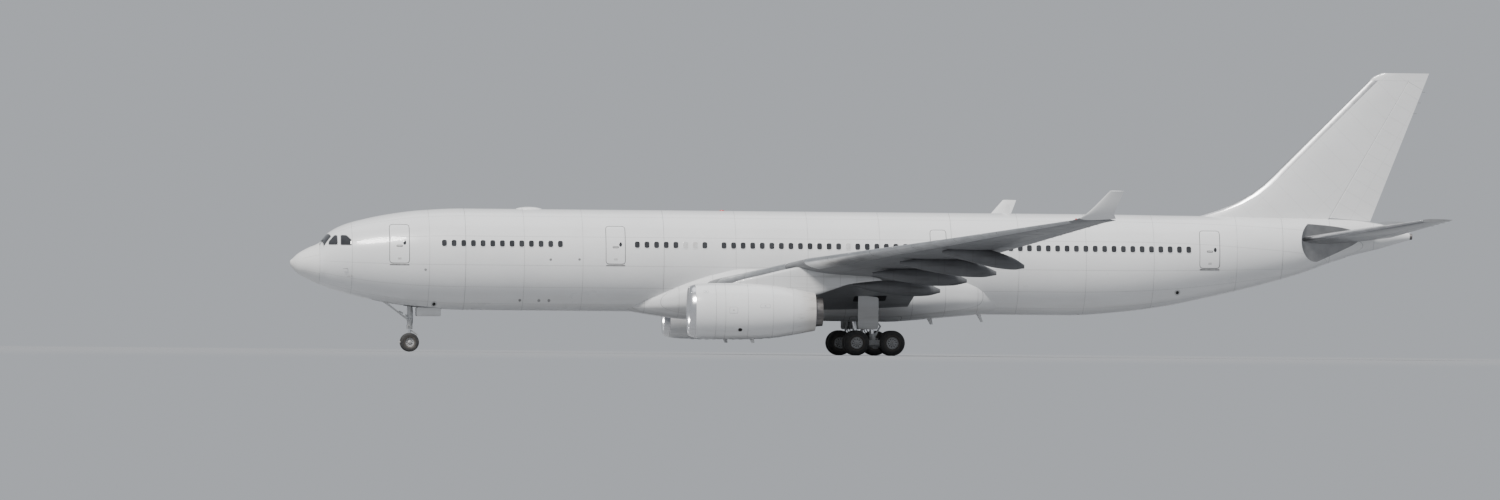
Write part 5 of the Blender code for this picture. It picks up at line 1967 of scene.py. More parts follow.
def make_cowls(word, axis):
    """The inlet with its polished lip, the fan cowl, the reverser and the nozzle, as turned shells."""
    lip = turned(bmesh.new(), spline(LIP, 5) + [(21.90, 1.20), (21.80, 1.44)], axis, AFT, ENGINE_SIDES)
    piece("inlet_lip_" + word, lip, POLISHED)
    inlet = cowl_profile(LIP_END, INLET_END, 8) + [(INLET_END - SEAM, 1.30), (LIP_END + SEAM, 1.30)]
    bm = turned(bmesh.new(), inlet, axis, AFT, ENGINE_SIDES)
    piece("inlet_skin_" + word, bm, COWL_PAINT, "white_paint", ("inlet_cowl_" + word,))
    duct = spline(DUCT, 4) + [(FAN_COWL_END, FAN_DUCT), (FAN_COWL_END, 1.28), (21.90, 1.21)]
    piece("inlet_duct_" + word, turned(bmesh.new(), duct, axis, AFT, ENGINE_SIDES), DUCT_LINER)
    fan_cowl = cowl_profile(INLET_END, FAN_COWL_END, 8)
    fan_cowl += [(FAN_COWL_END - SEAM, 1.33), (INLET_END + SEAM, 1.33)]
    bm = turned(bmesh.new(), fan_cowl, axis, AFT, ENGINE_SIDES)
    piece("fan_cowl_skin_" + word, bm, COWL_PAINT, "white_paint", ("fan_cowl_" + word,))
    sleeve = cowl_profile(FAN_COWL_END, SLEEVE_END, 12) + [(SLEEVE_END - SEAM, 1.20), (FAN_COWL_END, 1.30)]
    bm = turned(bmesh.new(), sleeve, axis, AFT, ENGINE_SIDES)
    piece("reverser_skin_" + word, bm, COWL_PAINT, "white_paint", ("aft_cowl_" + word,))
    nozzle = cowl_profile(SLEEVE_END, 28.45, 10)[:-1] + [(28.455, 1.010), *NOZZLE_INNER, (24.67, 1.29),
                                                        (27.0, 1.20)]
    bm = turned(bmesh.new(), nozzle, axis, AFT, ENGINE_SIDES)
    piece("nozzle_skin_" + word, bm, NOZZLE_PAINT, "white_paint")


def spline(points, count):
    """A profile's points joined by a smooth line."""
    return [tuple(p)[:2] for p in curved([Vector((*point, 0)) for point in points], count)]


def make_core(word, sign, axis):
    """The engine behind the fan: its fixed vanes, core cowl, nozzle and plug."""
    core = ((23.60, 0.0), (23.60, 0.66), (24.00, 0.76), (24.60, 0.86), (25.60, 0.90), (26.80, 0.90),
            (27.60, 0.88), (28.30, 0.83), (28.86, 0.77), (28.86, 0.745), (28.30, 0.76), (27.70, 0.78),
            (27.70, 0.0))
    piece("core_cowl_" + word, turned(bmesh.new(), core, axis, AFT, 72, closed=False),
          NOZZLE_METAL, "nozzle_metal", ("engine_core_" + word,))
    plug = ((27.60, 0.0), (27.60, 0.44), (27.90, 0.42), (28.20, 0.36), (28.50, 0.24), (28.70, 0.10),
            (28.76, 0.0))
    piece("nozzle_plug_" + word, turned(bmesh.new(), plug, axis, AFT, 48, closed=False),
          NOZZLE_METAL, "nozzle_metal")
    centre = at(24.0, sign * ENGINE_SIDE, ENGINE_HEIGHT)
    vane = bmesh.new()
    rows = []
    for radius in (0.66, 1.26):
        row = []
        for along, up in section_outline(0.42, 0.045, 5):
            row.append(Vector((along - 0.2, up, radius)) * SCALE)
        rows.append(row)
    loft(vane, rows)
    spots = []
    for i in range(36):
        turn = 2 * pi * i / 36
        out = Vector((0, sin(turn), cos(turn)))
        spots.append((centre, out, AFT))
    repeated("guide_vanes_" + word, vane, spots, DARK_METAL)


def make_fan(word, sign, axis):
    """The fan: wide twisted blades on their hub, and the spinner with its painted curl."""
    centre = at(FAN_STATION, sign * ENGINE_SIDE, ENGINE_HEIGHT)
    blade = bmesh.new()
    rows = []
    for share in steps(0, 1, 9):
        radius = HUB_RADIUS - 0.04 + share * (FAN_RADIUS - HUB_RADIUS + 0.04)
        stagger = radians(12 + 46 * share ** 0.9)
        chord = 0.28 + 0.16 * share ** 0.8
        camber = 0.10 * (1 - 0.6 * share)
        lean = 0.03 * sin(pi * share)
        row = []
        for along, up in section_outline(chord, chord * (0.11 - 0.07 * share), 7):
            x = along - chord / 2
            bow = up + camber * chord * (1 - (2 * x / chord) ** 2)
            row.append(Vector((x * cos(stagger) - bow * sin(stagger),
                               x * sin(stagger) + bow * cos(stagger) + lean, radius)) * SCALE)
        rows.append(row)
    loft(blade, rows)
    spots = []
    for i in range(BLADES):
        turn = 2 * pi * i / BLADES
        spots.append((centre, Vector((0, sin(turn), cos(turn))), AFT))
    name = "fan_" + word
    repeated("fan_blades_" + word, blade, spots, FAN_METAL, "fan_metal", (name,), sharp=60, body=name)
    cone = spline(((22.42, 0.0), (22.44, 0.05), (22.52, 0.115), (22.70, 0.215), (22.95, 0.315),
                   (23.10, 0.355), (23.25, HUB_RADIUS)), 4)
    cone += [(23.42, HUB_RADIUS), (23.42, 0.10), (24.0, 0.10), (24.0, 0.0)]
    bm = turned(bmesh.new(), cone, axis, AFT, 64, closed=False)
    piece("spinner_" + word, bm, SPINNER_PAINT, "fan_metal", body=name)


PYLON_TOP = Flow((23.55, 24.30, 25.60, 26.90, 27.60, 29.00, 31.90, 32.12),
                 (-1.36, -1.06, -0.74, -0.42, -0.30, -0.50, -0.86, -0.97))
PYLON_BOTTOM = Flow((23.55, 24.4, 27.6, 28.10, 28.60, 29.30, 30.40, 32.12),
                    (-1.44, -1.60, -1.92, -1.96, -1.82, -1.58, -1.22, -1.00))
PYLON_WIDTH = Flow((23.55, 24.2, 25.60, 29.60, 31.2, 32.12), (0.02, 0.12, 0.225, 0.225, 0.12, 0.02))


def make_pylon(word, sign):
    """The pylon that carries the engine: a slim fairing that runs from the cowl's top to the wing."""
    rows = []
    for x in steps(23.55, 32.12, 48):
        top, bottom, half = (float(flow(x)[0]) for flow in (PYLON_TOP, PYLON_BOTTOM, PYLON_WIDTH))
        middle, rise = (top + bottom) / 2, (top - bottom) / 2
        row = []
        for t in full_turn(24):
            s, c = sin(t), cos(t)
            y = copysign(abs(s) ** 0.45, s) * half
            z = copysign(abs(c) ** 0.7, c) * rise
            row.append(at(x, sign * ENGINE_SIDE + y, middle + z))
        rows.append(row)
    bm = loft(bmesh.new(), rows)
    piece("pylon_skin_" + word, bm, PYLON_PAINT, "white_paint", ("pylon_" + word,), sharp=50)


def make_engine(word, sign):
    """One engine in its cowls, hung on its pylon."""
    axis = at(0, sign * ENGINE_SIDE, ENGINE_HEIGHT)
    make_cowls(word, axis)
    make_core(word, sign, axis)
    make_fan(word, sign, axis)
    make_pylon(word, sign)


# Landing gear

MAIN_STATION = 32.04
MAIN_SIDE = 5.34
MAIN_TYRE = (0.70, 0.265)
MAIN_TWIN = 1.40
MAIN_AXLES = 1.98
NOSE_STATION = 6.67
NOSE_TYRE = (0.52, 0.19)
NOSE_TWIN = 0.71
ACROSS = Vector((0, 1, 0))
# Rim outline from its flange to the hub cap's middle, as shares of the tyre's half width and radius
RIM_FACE = ((0.66, 0.475), (0.72, 0.49), (0.70, 0.455), (0.46, 0.43), (0.36, 0.40), (0.30, 0.30),
            (0.33, 0.20), (0.52, 0.185), (0.60, 0.17), (0.66, 0.13), (0.68, 0.0))
RIM_BACK = ((-0.30, 0.0), (-0.30, 0.39), (-0.42, 0.43), (-0.70, 0.455), (-0.72, 0.49), (-0.66, 0.475))
# Side wall from the bead to the shoulder, as shares of the tyre's half width and radius
SIDE_WALL = ((0.64, 0.465), (0.80, 0.49), (0.94, 0.58), (1.0, 0.70), (0.985, 0.82), (0.90, 0.925),
             (0.78, 0.972))
GROOVES = (-0.48, -0.17, 0.17, 0.48)


def bar(bm, path, sizes, up, rim=0.3):
    """A bar of chamfered box section along a path; sizes are (half across, half up) at each point."""
    rows = []
    for i, (point, (w, h)) in enumerate(zip(path, sizes)):
        run = (path[min(i + 1, len(path) - 1)] - path[max(i - 1, 0)]).normalized()
        across = run.cross(up).normalized()
        rise = across.cross(run)
        c = min(w, h) * rim
        corners = ((w - c, h), (w, h - c), (w, c - h), (w - c, -h), (c - w, -h), (-w, c - h), (-w, h - c),
                   (c - w, h))
        rows.append([point + (across * x + rise * z) * SCALE for x, z in corners])
    return loft(bm, rows)


def tyre_outline(radius, half):
    """A tyre's section as (distance along the axle, radius), with grooves around its tread."""
    wall = [(a * half, r * radius) for a, r in spline(SIDE_WALL, 3)]
    edge, crown = SIDE_WALL[-1][0], []
    for groove in GROOVES:
        for step, sunk in ((0.055, 0), (0.04, 1), (-0.04, 1), (-0.055, 0)):
            a = -groove + step
            crown.append((a, 1.0 - 0.028 * (a / edge) ** 2 - (0.018 if sunk else 0.0)))
    tread = [(a * half, r * radius) for a, r in crown]
    return wall + tread + [(-a, r) for a, r in reversed(wall)]


def cross_pin(bm, centre, half, radius, sides=16):
    """A round pin that lies across the aircraft, as long as twice its half length."""
    rod(bm, centre - ACROSS * half * SCALE, centre + ACROSS * half * SCALE, radius, sides=sides)


def make_wheels(name, station, side, height, size, twin, finishes):
    """A pair of wheels on one axle: tyres, rims with ribs, tie bolts and hub caps."""
    radius, half = size
    rubber_finish, rim_paint = finishes
    tyres, rims, axle, rib, bolt, vent = (bmesh.new() for _ in range(6))
    ribs, bolts, vents = [], [], []
    for sign in (-1, 1):
        centre = at(station, side + sign * twin / 2, height)
        turned(tyres, tyre_outline(radius, half), centre, ACROSS, 80)
        face = [(sign * a * half, r * radius) for a, r in RIM_BACK + RIM_FACE]
        turned(rims, face, centre, ACROSS, 60, closed=False)
        out = ACROSS * sign
        for i in range(20):
            turn = 2 * pi * (i + 0.5) / 20
            way = Vector((cos(turn), 0, sin(turn)))
            if i % 2:
                ribs.append((centre + out * 0.34 * half * SCALE, way, out))
            else:
                vents.append((centre + (out * 0.325 * half + way * 0.30 * radius) * SCALE, out, way))
            bolts.append((centre + (out * 0.385 * half + way * 0.405 * radius) * SCALE, out, way))
    bar(rib, [Vector((0, 0, s)) * radius * SCALE for s in (0.17, 0.30, 0.40)],
        [(0.05 * half, 0.030 * radius)] * 2 + [(0.12 * half, 0.016 * radius)], ACROSS)
    turned(bolt, ((0, 0), (0, 0.014), (0.016, 0.014), (0.022, 0.009), (0.030, 0.008), (0.030, 0)),
           Vector((0, 0, 0)), UP, 6, closed=False)
    lens(vent, Vector((0, 0, 0)), UP, AFT, 0.055 * radius, 0.036 * radius, 0.004)
    ends = [at(station, side + way * twin / 2, height) for way in (-1, 1)]
    rod(axle, *ends, 0.16 * half + 0.04)
    piece(name + "_tyres", tyres, rubber_finish, "tyre", (name,), sharp=40, body=name)
    piece(name + "_rims", rims, rim_paint, sharp=30, body=name)
    piece(name + "_axle", axle, WORN_METAL, body=name)
    repeated(name + "_ribs", rib, ribs, rim_paint, body=name)
    repeated(name + "_bolts", bolt, bolts, WORN_METAL, body=name)
    # The holes between the ribs are dark lenses of painted shade.
    repeated(name + "_vents", vent, vents, HOLLOW_SHADE, body=name)


LEG_TOP = (31.62, -1.60)
# Distance down the leg, and the radius there
LEG_PROFILE = ((0.0, 0.0), (0.0, 0.20), (0.42, 0.215), (0.70, 0.205), (0.86, 0.205), (0.89, 0.235),
               (1.02, 0.235), (1.05, 0.195), (1.36, 0.190), (1.39, 0.225), (1.55, 0.225), (1.585, 0.200),
               (1.585, 0.0))
PISTON_PROFILE = ((1.50, 0.0), (1.50, 0.128), (2.42, 0.128), (2.42, 0.0))
FOOT_PROFILE = ((2.36, 0.0), (2.36, 0.150), (2.44, 0.165), (2.62, 0.165), (2.86, 0.130), (2.86, 0.0))


def hose(bm, points, radius=0.014):
    return tube(bm, curved(points), radius)


def make_main_leg(word, sign, axle_height):
    """The main leg: its cylinder and sliding tube, torque links, side brace, actuator and hoses."""
    side = sign * MAIN_SIDE
    top, foot = at(LEG_TOP[0], side, LEG_TOP[1]), at(MAIN_STATION, side, axle_height)
    down = (foot - top).normalized()
    ahead = ACROSS.cross(down).normalized()
    ahead = ahead if ahead.x < 0 else -ahead

    def beside(along, forward=0.0, across=0.0):
        return top + (down * along + ahead * forward + ACROSS * across) * SCALE

    leg = turned(bmesh.new(), LEG_PROFILE, top, down, 40, closed=False)
    turned(leg, FOOT_PROFILE, top, down, 32, closed=False)
    nodes = ("main_leg_" + word,)
    piece("main_leg_cylinder_" + word, leg, GEAR_PAINT, "gear_grey", nodes, bevel=0.006)
    slide = turned(bmesh.new(), PISTON_PROFILE, top, down, 40, closed=False)
    piece("main_leg_slide_" + word, slide, CHROME)

    links, pins = bmesh.new(), bmesh.new()
    apex = beside(2.02, -0.52)
    for start, offset in ((beside(1.50, -0.20), 0.02), (beside(2.52, -0.13), -0.02)):
        for across in (-0.11, 0.11):
            path = [start + ACROSS * across * SCALE, apex + ACROSS * across * 0.3 * SCALE]
            bar(links, path, [(0.025, 0.055), (0.022, 0.040)], ahead)
        middle = start.lerp(apex, 0.45)
        rung = [middle - ACROSS * 0.09 * SCALE, middle + ACROSS * 0.09 * SCALE]
        bar(links, rung, [(0.02, 0.03)] * 2, down)
    for centre, half in ((apex, 0.085), (beside(1.50, -0.21), 0.15), (beside(2.52, -0.14), 0.15)):
        cross_pin(pins, centre, half, 0.032)

    elbow_foot = beside(1.16, 0.0, -sign * 0.20)
    elbow_head = at(31.10, sign * 3.10, -2.10)
    knee = elbow_foot.lerp(elbow_head, 0.48)
    for a, b in ((elbow_foot, knee), (knee, elbow_head)):
        sizes = [(0.05, 0.06), (0.075, 0.045), (0.075, 0.045), (0.05, 0.06)]
        bar(links, [a, a.lerp(b, 0.12), a.lerp(b, 0.88), b], sizes, UP)
    rod(pins, knee - ahead * 0.12 * SCALE, knee + ahead * 0.12 * SCALE, 0.045, sides=16)
    bar(links, [knee, beside(0.55, 0.0, -sign * 0.18)], [(0.03, 0.04), (0.03, 0.04)], ahead)
    rod(links, beside(1.46, 0.28), beside(2.34, 0.60), 0.055, sides=20)
    rod(pins, beside(2.30, 0.585), beside(2.72, 0.74), 0.030, sides=16)
    bar(links, [beside(1.46, 0.10), beside(1.46, 0.30)], [(0.06, 0.05), (0.04, 0.05)], down)
    piece("main_leg_links_" + word, links, GEAR_PAINT, "gear_grey", bevel=0.004)
    piece("main_leg_pins_" + word, pins, WORN_METAL)

    lines = bmesh.new()
    for i, across in enumerate((-0.13, -0.07, 0.07, 0.13)):
        way = -1 if i < 2 else 1
        hose(lines, [beside(0.05, 0.19, across), beside(0.85, 0.24, across), beside(1.50, 0.24, across),
                     beside(1.95, 0.30 + 0.04 * i, across * 1.6), beside(2.40, 0.22, across * 1.5),
                     foot + Vector((0.30 * way, across * 1.2, 0.11))])
    clamps = bmesh.new()
    for along in (0.30, 0.62, 1.20):
        bar(clamps, [beside(along, 0.22, -0.17), beside(along, 0.22, 0.17)], [(0.02, 0.035)] * 2, down)
    piece("main_leg_hoses_" + word, lines, HOSE_RUBBER)
    piece("main_leg_clamps_" + word, clamps, FITTING_PAINT)


# The bogie beam's steps aft of its middle, with its half width and half height at each
BEAM_STEPS = (-1.16, -0.99, -0.70, -0.22, 0.22, 0.70, 0.99, 1.16)
BEAM_SIZES = ((0.10, 0.10), (0.17, 0.17), (0.125, 0.14), (0.165, 0.18), (0.165, 0.18), (0.125, 0.14),
              (0.17, 0.17), (0.10, 0.10))
# Distance from the beam's middle, and the brake's radius there
BRAKE_STACK = ((0.20, 0.10), (0.20, 0.27), (0.24, 0.285), (0.40, 0.285), (0.41, 0.27), (0.44, 0.27),
               (0.45, 0.255), (0.58, 0.255), (0.58, 0.10))


def make_bogie(word, sign, axle_height):
    """The bogie beam with its brakes, torque rods and jacking feet."""
    side = sign * MAIN_SIDE
    beam, brakes, rods = bmesh.new(), bmesh.new(), bmesh.new()
    path = [at(MAIN_STATION + x, side, axle_height) for x in BEAM_STEPS]
    bar(beam, path, BEAM_SIZES, UP, rim=0.45)
    for end in (-0.5, 0.5):
        station = MAIN_STATION + end * MAIN_AXLES
        centre = at(station, side, axle_height)
        cross_pin(beam, centre, 0.185, 0.165, 32)
        for way in (-1, 1):
            out = ACROSS * way
            turned(brakes, BRAKE_STACK, centre, out, 40)
            for i in range(6):
                turn = 2 * pi * (i + 0.5) / 6
                way_out = Vector((cos(turn), 0, sin(turn)))
                foot = centre + (way_out * 0.20 + out * 0.19) * SCALE
                rod(rods, foot, foot + out * 0.05 * SCALE, 0.045, sides=12)
            low = centre + (out * 0.225 - UP * 0.24) * SCALE
            inner = at(MAIN_STATION - end * 0.1, side + way * 0.225, axle_height - 0.20)
            rod(rods, low, inner, 0.022, sides=12)
        foot, pad = (at(station, side, axle_height - drop) for drop in (0.14, 0.25))
        rod(beam, foot, pad, 0.07, 0.045)
    nodes = ("bogie_beam_" + word,)
    piece("bogie_" + word, beam, GEAR_PAINT, "gear_grey", nodes, bevel=0.006)
    piece("brakes_" + word, brakes, BRAKE_METAL, sharp=30)
    piece("brake_rods_" + word, rods, WORN_METAL)


def upright_door(name, node, y_in, y_out, outline, ribs, links):
    """A thin door in the (station, height) plane, with ribs on its inner face and hinge arms."""
    bm, inside = bmesh.new(), bmesh.new()
    rows = []
    for y, inset in ((y_in, 0.012), (y_in + 0.2 * (y_out - y_in), 0.0), (y_out - 0.2 * (y_out - y_in), 0.0),
                     (y_out, 0.012)):
        rows.append([at(p.x, y, p.y) for p in shrunk(outline, inset)])
    loft(bm, rows)
    way = copysign(1.0, y_in - y_out)
    for (x0, z0), (x1, z1) in ribs:
        path = [at(x, y_in + way * 0.012, z) for x, z in ((x0, z0), (x1, z1))]
        bar(inside, path, [(0.018, 0.022)] * 2, ACROSS)
    for (x0, z0), (x1, z1), reach in links:
        rod(inside, at(x0, y_in, z0), at(x1, y_in + way * reach, z1), 0.020, sides=12)
    piece(name, bm, BELLY_PAINT, "white_paint", (node,), sharp=40)
    piece(name + "_ribs", inside, FITTING_PAINT)


def make_main_gear(word, sign):
    """One main gear: leg, bogie, four wheels, the door on the leg and, above it, a dark plate of painted
    shade for the bay.
    """
    axle_height = GROUND + MAIN_TYRE[0]
    make_main_leg(word, sign, axle_height)
    make_bogie(word, sign, axle_height)
    for place, end in (("front", -0.5), ("rear", 0.5)):
        make_wheels("main_wheels_%s_%s" % (place, word), MAIN_STATION + end * MAIN_AXLES, sign * MAIN_SIDE,
                    axle_height, MAIN_TYRE, MAIN_TWIN, (MAIN_RUBBER, MAIN_RIM))
    y_in = sign * (MAIN_SIDE + 0.2206)
    corners = ((31.16, -3.70), (32.29, -3.70), (32.29, -1.92), (31.16, -1.80))
    outline = [Vector(p) for p in rounded(corners, 0.14)]
    ribs = [((31.22, z), (32.23, z)) for z in (-3.55, -3.10, -2.65, -2.20)]
    ribs += [((x, -3.62), (x, -2.0)) for x in (31.30, 31.72, 32.15)]
    links = [((31.75, -2.25), (31.72, -2.30), 0.10), ((31.80, -3.05), (31.84, -3.05), 0.10)]
    y_out = y_in + sign * 0.058
    upright_door("leg_door_" + word, "main_leg_door_" + word, y_in, y_out, outline, ribs, links)

    under = airfoil(WING, sign)
    bay, rim = bmesh.new(), bmesh.new()
    whole = divided(patch(30.95, 4.55, 32.75, 5.60, 0.12), 0.25)

    def place(station, side, lift):
        return under(station, side, -1, lift)

    plate(bay, whole, place, ((0.0, 0.004), (0.006, 0.006)), fill=6)
    frame_strip(rim, grown(whole, 0.05), place, 0.05, 0.012)
    piece("gear_bay_opening_" + word, bay, HOLLOW_SHADE)
    piece("gear_bay_rim_" + word, rim, WING_GREY_AND_SHADE)


NOSE_SLEEVE_END = -3.90


# Distance down the nose leg, and the radius there
NOSE_LEG_PROFILE = ((0.0, 0.0), (0.0, 0.14), (0.60, 0.145), (1.00, 0.140), (1.02, 0.165), (1.14, 0.165),
                    (1.16, 0.145), (1.36, 0.145), (1.38, 0.175), (1.56, 0.175), (1.598, 0.160),
                    (1.598, 0.0))
NOSE_SLIDE_PROFILE = ((0.012, 0.0), (0.012, 0.094), (0.52, 0.094), (0.52, 0.0))
NOSE_FOOT_PROFILE = ((0.50, 0.0), (0.50, 0.115), (0.56, 0.13), (0.70, 0.13), (0.86, 0.10), (0.86, 0.0))
TOW_LUG = ((-0.08, -0.01), (-0.30, 0.0), (-0.46, 0.005), (-0.595, 0.01))


def make_nose_leg():
    """The fixed nose leg with its drag brace, steering jacks, lamps and hoses."""
    top = at(NOSE_STATION, 0, -2.30)
    leg, links, pins, lines, glow = (bmesh.new() for _ in range(5))
    turned(leg, NOSE_LEG_PROFILE, top, DOWN, 40, closed=False)
    for way in (-1, 1):
        foot = at(NOSE_STATION - 0.06, way * 0.17, -3.40)
        head = at(5.25, way * 0.30, -2.38)
        bar(leg, [foot, foot.lerp(head, 0.5), head], [(0.045, 0.05), (0.06, 0.035), (0.045, 0.05)], UP)
        jack = at(NOSE_STATION - 0.05, way * 0.13, -3.72)
        rod(leg, jack, jack + Vector((-0.02, way * 0.20, 0)) * SCALE, 0.065)
        rod(pins, jack, jack + Vector((-0.03, way * 0.27, 0)) * SCALE, 0.032, sides=16)
        lamp_at = at(NOSE_STATION - 0.24, way * 0.15, -3.16)
        rod(links, lamp_at, lamp_at + AFT * 0.10 * SCALE, 0.085, 0.05, sides=24)
        arm = [lamp_at + AFT * 0.08 * SCALE, at(NOSE_STATION - 0.10, way * 0.06, -3.16)]
        bar(links, arm, [(0.02, 0.02)] * 2, UP)
        lens(glow, lamp_at, -AFT, UP, 0.076, 0.076, 0.022)
        stay = [at(6.10, way * 0.22, -2.92), at(6.30, way * 0.04, -3.02)]
        bar(leg, stay, [(0.02, 0.03)] * 2, UP)
        run = ((0.12, 0.08, -2.4), (0.17, 0.08, -3.0), (0.17, 0.08, -3.45), (0.13, 0.07, -3.74))
        hose(lines, [at(NOSE_STATION + x, way * y, z) for x, y, z in run], 0.012)
    cross_pin(pins, at(5.25, 0, -2.40), 0.36, 0.045)
    piece("nose_leg_cylinder", leg, GEAR_PAINT, "gear_grey", ("nose_leg",), bevel=0.004)
    piece("nose_leg_pins", pins, WORN_METAL)
    piece("nose_leg_lamps", links, GEAR_PAINT, "gear_grey")
    piece("nose_leg_hoses", lines, HOSE_RUBBER)
    piece("taxi_lights", glow, CLEAR_LENS)


def make_nose_steering():
    """The steered tube of the nose gear with its tow lug, torque links and wheels."""
    axle_height = GROUND + NOSE_TYRE[0]
    steered, slide = bmesh.new(), bmesh.new()
    slide_top, axle = at(NOSE_STATION, 0, NOSE_SLEEVE_END), at(NOSE_STATION, 0, axle_height)
    turned(slide, NOSE_SLIDE_PROFILE, slide_top, DOWN, 36, closed=False)
    turned(steered, NOSE_FOOT_PROFILE, slide_top, DOWN, 32, closed=False)
    cross_pin(steered, axle, 0.128, 0.125, 32)
    lug = [axle + Vector((x, 0, z)) * SCALE for x, z in TOW_LUG]
    bar(steered, lug, [(0.055, 0.055), (0.045, 0.045), (0.055, 0.05), (0.035, 0.035)], UP)
    apex = at(NOSE_STATION + 0.42, 0, -4.20)
    for start in (at(NOSE_STATION + 0.10, 0, -3.97), at(NOSE_STATION + 0.10, 0, -4.50)):
        for across in (-0.07, 0.07):
            arm = [start + ACROSS * across * SCALE, apex + ACROSS * across * 0.3 * SCALE]
            bar(steered, arm, [(0.018, 0.038), (0.016, 0.028)], AFT)
    cross_pin(steered, apex, 0.06, 0.024)
    nodes = ("nose_steered_leg",)
    piece("nose_steered_fork", steered, GEAR_PAINT, "gear_grey", nodes, bevel=0.004, body="nose_steering")
    piece("nose_steered_slide", slide, CHROME, body="nose_steering")
    make_wheels("nose_wheels", NOSE_STATION, 0, axle_height, NOSE_TYRE, NOSE_TWIN, (NOSE_RUBBER, NOSE_RIM))


def make_nose_bay():
    """The nose gear's bay, a dark plate of painted shade, with its closed front doors and its open side
    doors.
    """
    bay = bmesh.new()
    whole = divided(patch(6.30, -0.48, 8.40, 0.48, 0.08), 0.2)
    whole = [Vector((p.x, pi * HULL_RADIUS + p.y)) for p in whole]
    plate(bay, whole, hull_round, ((0.0, 0.004), (0.006, 0.006)), fill=5)
    piece("nose_bay_opening", bay, HOLLOW_SHADE)
    seals, doors = bmesh.new(), bmesh.new()
    for way in (-1, 1):
        closed_door = divided(patch(4.55, way * 0.02, 6.24, way * 0.46, 0.06), 0.2)
        closed_door = [Vector((p.x, pi * HULL_RADIUS + p.y)) for p in closed_door]
        plate(seals, closed_door, hull_round, ((0.0, 0.002), (0.004, 0.003)), fill=4)
        plate(doors, shrunk(closed_door, 0.015), hull_round, ((0.0, 0.005), (0.008, 0.010)), fill=4)
    piece("nose_bay_seals", seals, SEAL_RUBBER)
    piece("nose_bay_closed_doors", doors, BELLY_PAINT, "white_paint")
    for word, sign in SIDES:
        y_in = sign * 0.5215
        corners = ((7.02, -3.18), (8.38, -3.18), (8.38, -2.72), (7.02, -2.68))
        outline = [Vector(p) for p in rounded(corners, 0.10)]
        ribs = [((7.08, z), (8.32, z)) for z in (-3.10, -2.86)]
        ribs += [((x, -3.14), (x, -2.74)) for x in (7.14, 7.70, 8.26)]
        links = [((7.40, -2.80), (7.40, -2.66), 0.14), ((8.00, -2.80), (8.00, -2.66), 0.14)]
        y_out = y_in + sign * 0.056
        upright_door("nose_door_" + word, "nose_gear_door_" + word, y_in, y_out, outline, ribs, links)


def make_nose_gear():
    make_nose_leg()
    make_nose_steering()
    make_nose_bay()


# Fittings on the wings, tail and engines

SPOILERS = ((4.25, 6.45), (6.55, 8.75), (10.35, 12.15), (12.25, 14.05), (14.15, 15.95), (16.05, 17.85),
            (17.95, 19.75))
SPOILER_CHORD = (0.95, 0.62)
ACCESS_PANEL = (0.24, 0.13)


def make_spoilers(word, sign, surface):
    """The spoiler panels ahead of the flaps, each in a fine dark joint, with their hinge covers."""
    seals, panels, hinges = bmesh.new(), bmesh.new(), bmesh.new()

    def place(station, side, lift):
        return surface(station, side, 1, lift)

    for first, last in SPOILERS:
        outline = []
        for side in (first, last):
            chord = float(numpy.interp(side, (4.25, 19.75), SPOILER_CHORD))
            outline.append((flap_line(side) - 0.03 - chord, side))
        for side in (last, first):
            outline.append((flap_line(side) - 0.03, side))
        whole = divided([Vector(p) for p in outline], 0.3)
        plate(seals, grown(whole, 0.014), place, ((0.0, 0.002), (0.004, 0.003)), fill=4)
        plate(panels, whole, place, ((0.0, 0.006), (0.008, 0.012)), fill=5)
        for share in (0.15, 0.5, 0.85):
            side = first + share * (last - first)
            x = flap_line(side) - 0.03 - float(numpy.interp(side, (4.25, 19.75), SPOILER_CHORD))
            cover = patch(x - 0.10, side - 0.05, x + 0.14, side + 0.05, 0.03)
            plate(hinges, cover, place, ((0.0, 0.012), (0.02, 0.024)), fill=2)
    piece("spoiler_seals_" + word, seals, SEAL_RUBBER)
    piece("spoilers_" + word, panels, FLAP_GREY_AND_SHADE, "wing_grey")
    piece("spoiler_hinge_covers_" + word, hinges, FITTING_PAINT)


def on_wing(surface, station, side, face):
    """A wing point with its outward direction, for a repeated shape."""
    foot = surface(station, side, face)
    back = surface(station + 0.05, side, face) - foot
    out = back.cross(surface(station, side + 0.05, face) - foot).normalized()
    out = out if out.z * face > 0 else -out
    return foot, out, AFT


def make_access_panels(word, sign, surface):
    """The oval tank covers along the wing's lower skin."""
    cover = bmesh.new()
    plate(cover, oval(0, 0, *ACCESS_PANEL), flat, ((0.0, 0.003), (0.02, 0.006)), fill=2)
    spots = []
    for share in (0.33, 0.52):
        for side in steps(10.6, 27.0, 19):
            _, front, chord, *_ = row_at(WING, side)
            spots.append(on_wing(surface, front + share * chord, side, -1))
    repeated("tank_covers_" + word, cover, spots, WING_GREY_AND_SHADE, "wing_grey")


def make_wicks(name, body, feet, length=0.24):
    """Static dischargers: thin rods that trail from an edge."""
    bm = bmesh.new()
    for foot in feet:
        tube(bm, [foot + AFT * back * SCALE for back in (-0.05, length * 0.5, length)], 0.007, 6)
        tube(bm, [foot + AFT * back * SCALE for back in (-0.06, 0.03)], 0.014, 8)
    piece(name, bm, SEAL_RUBBER, body=body)


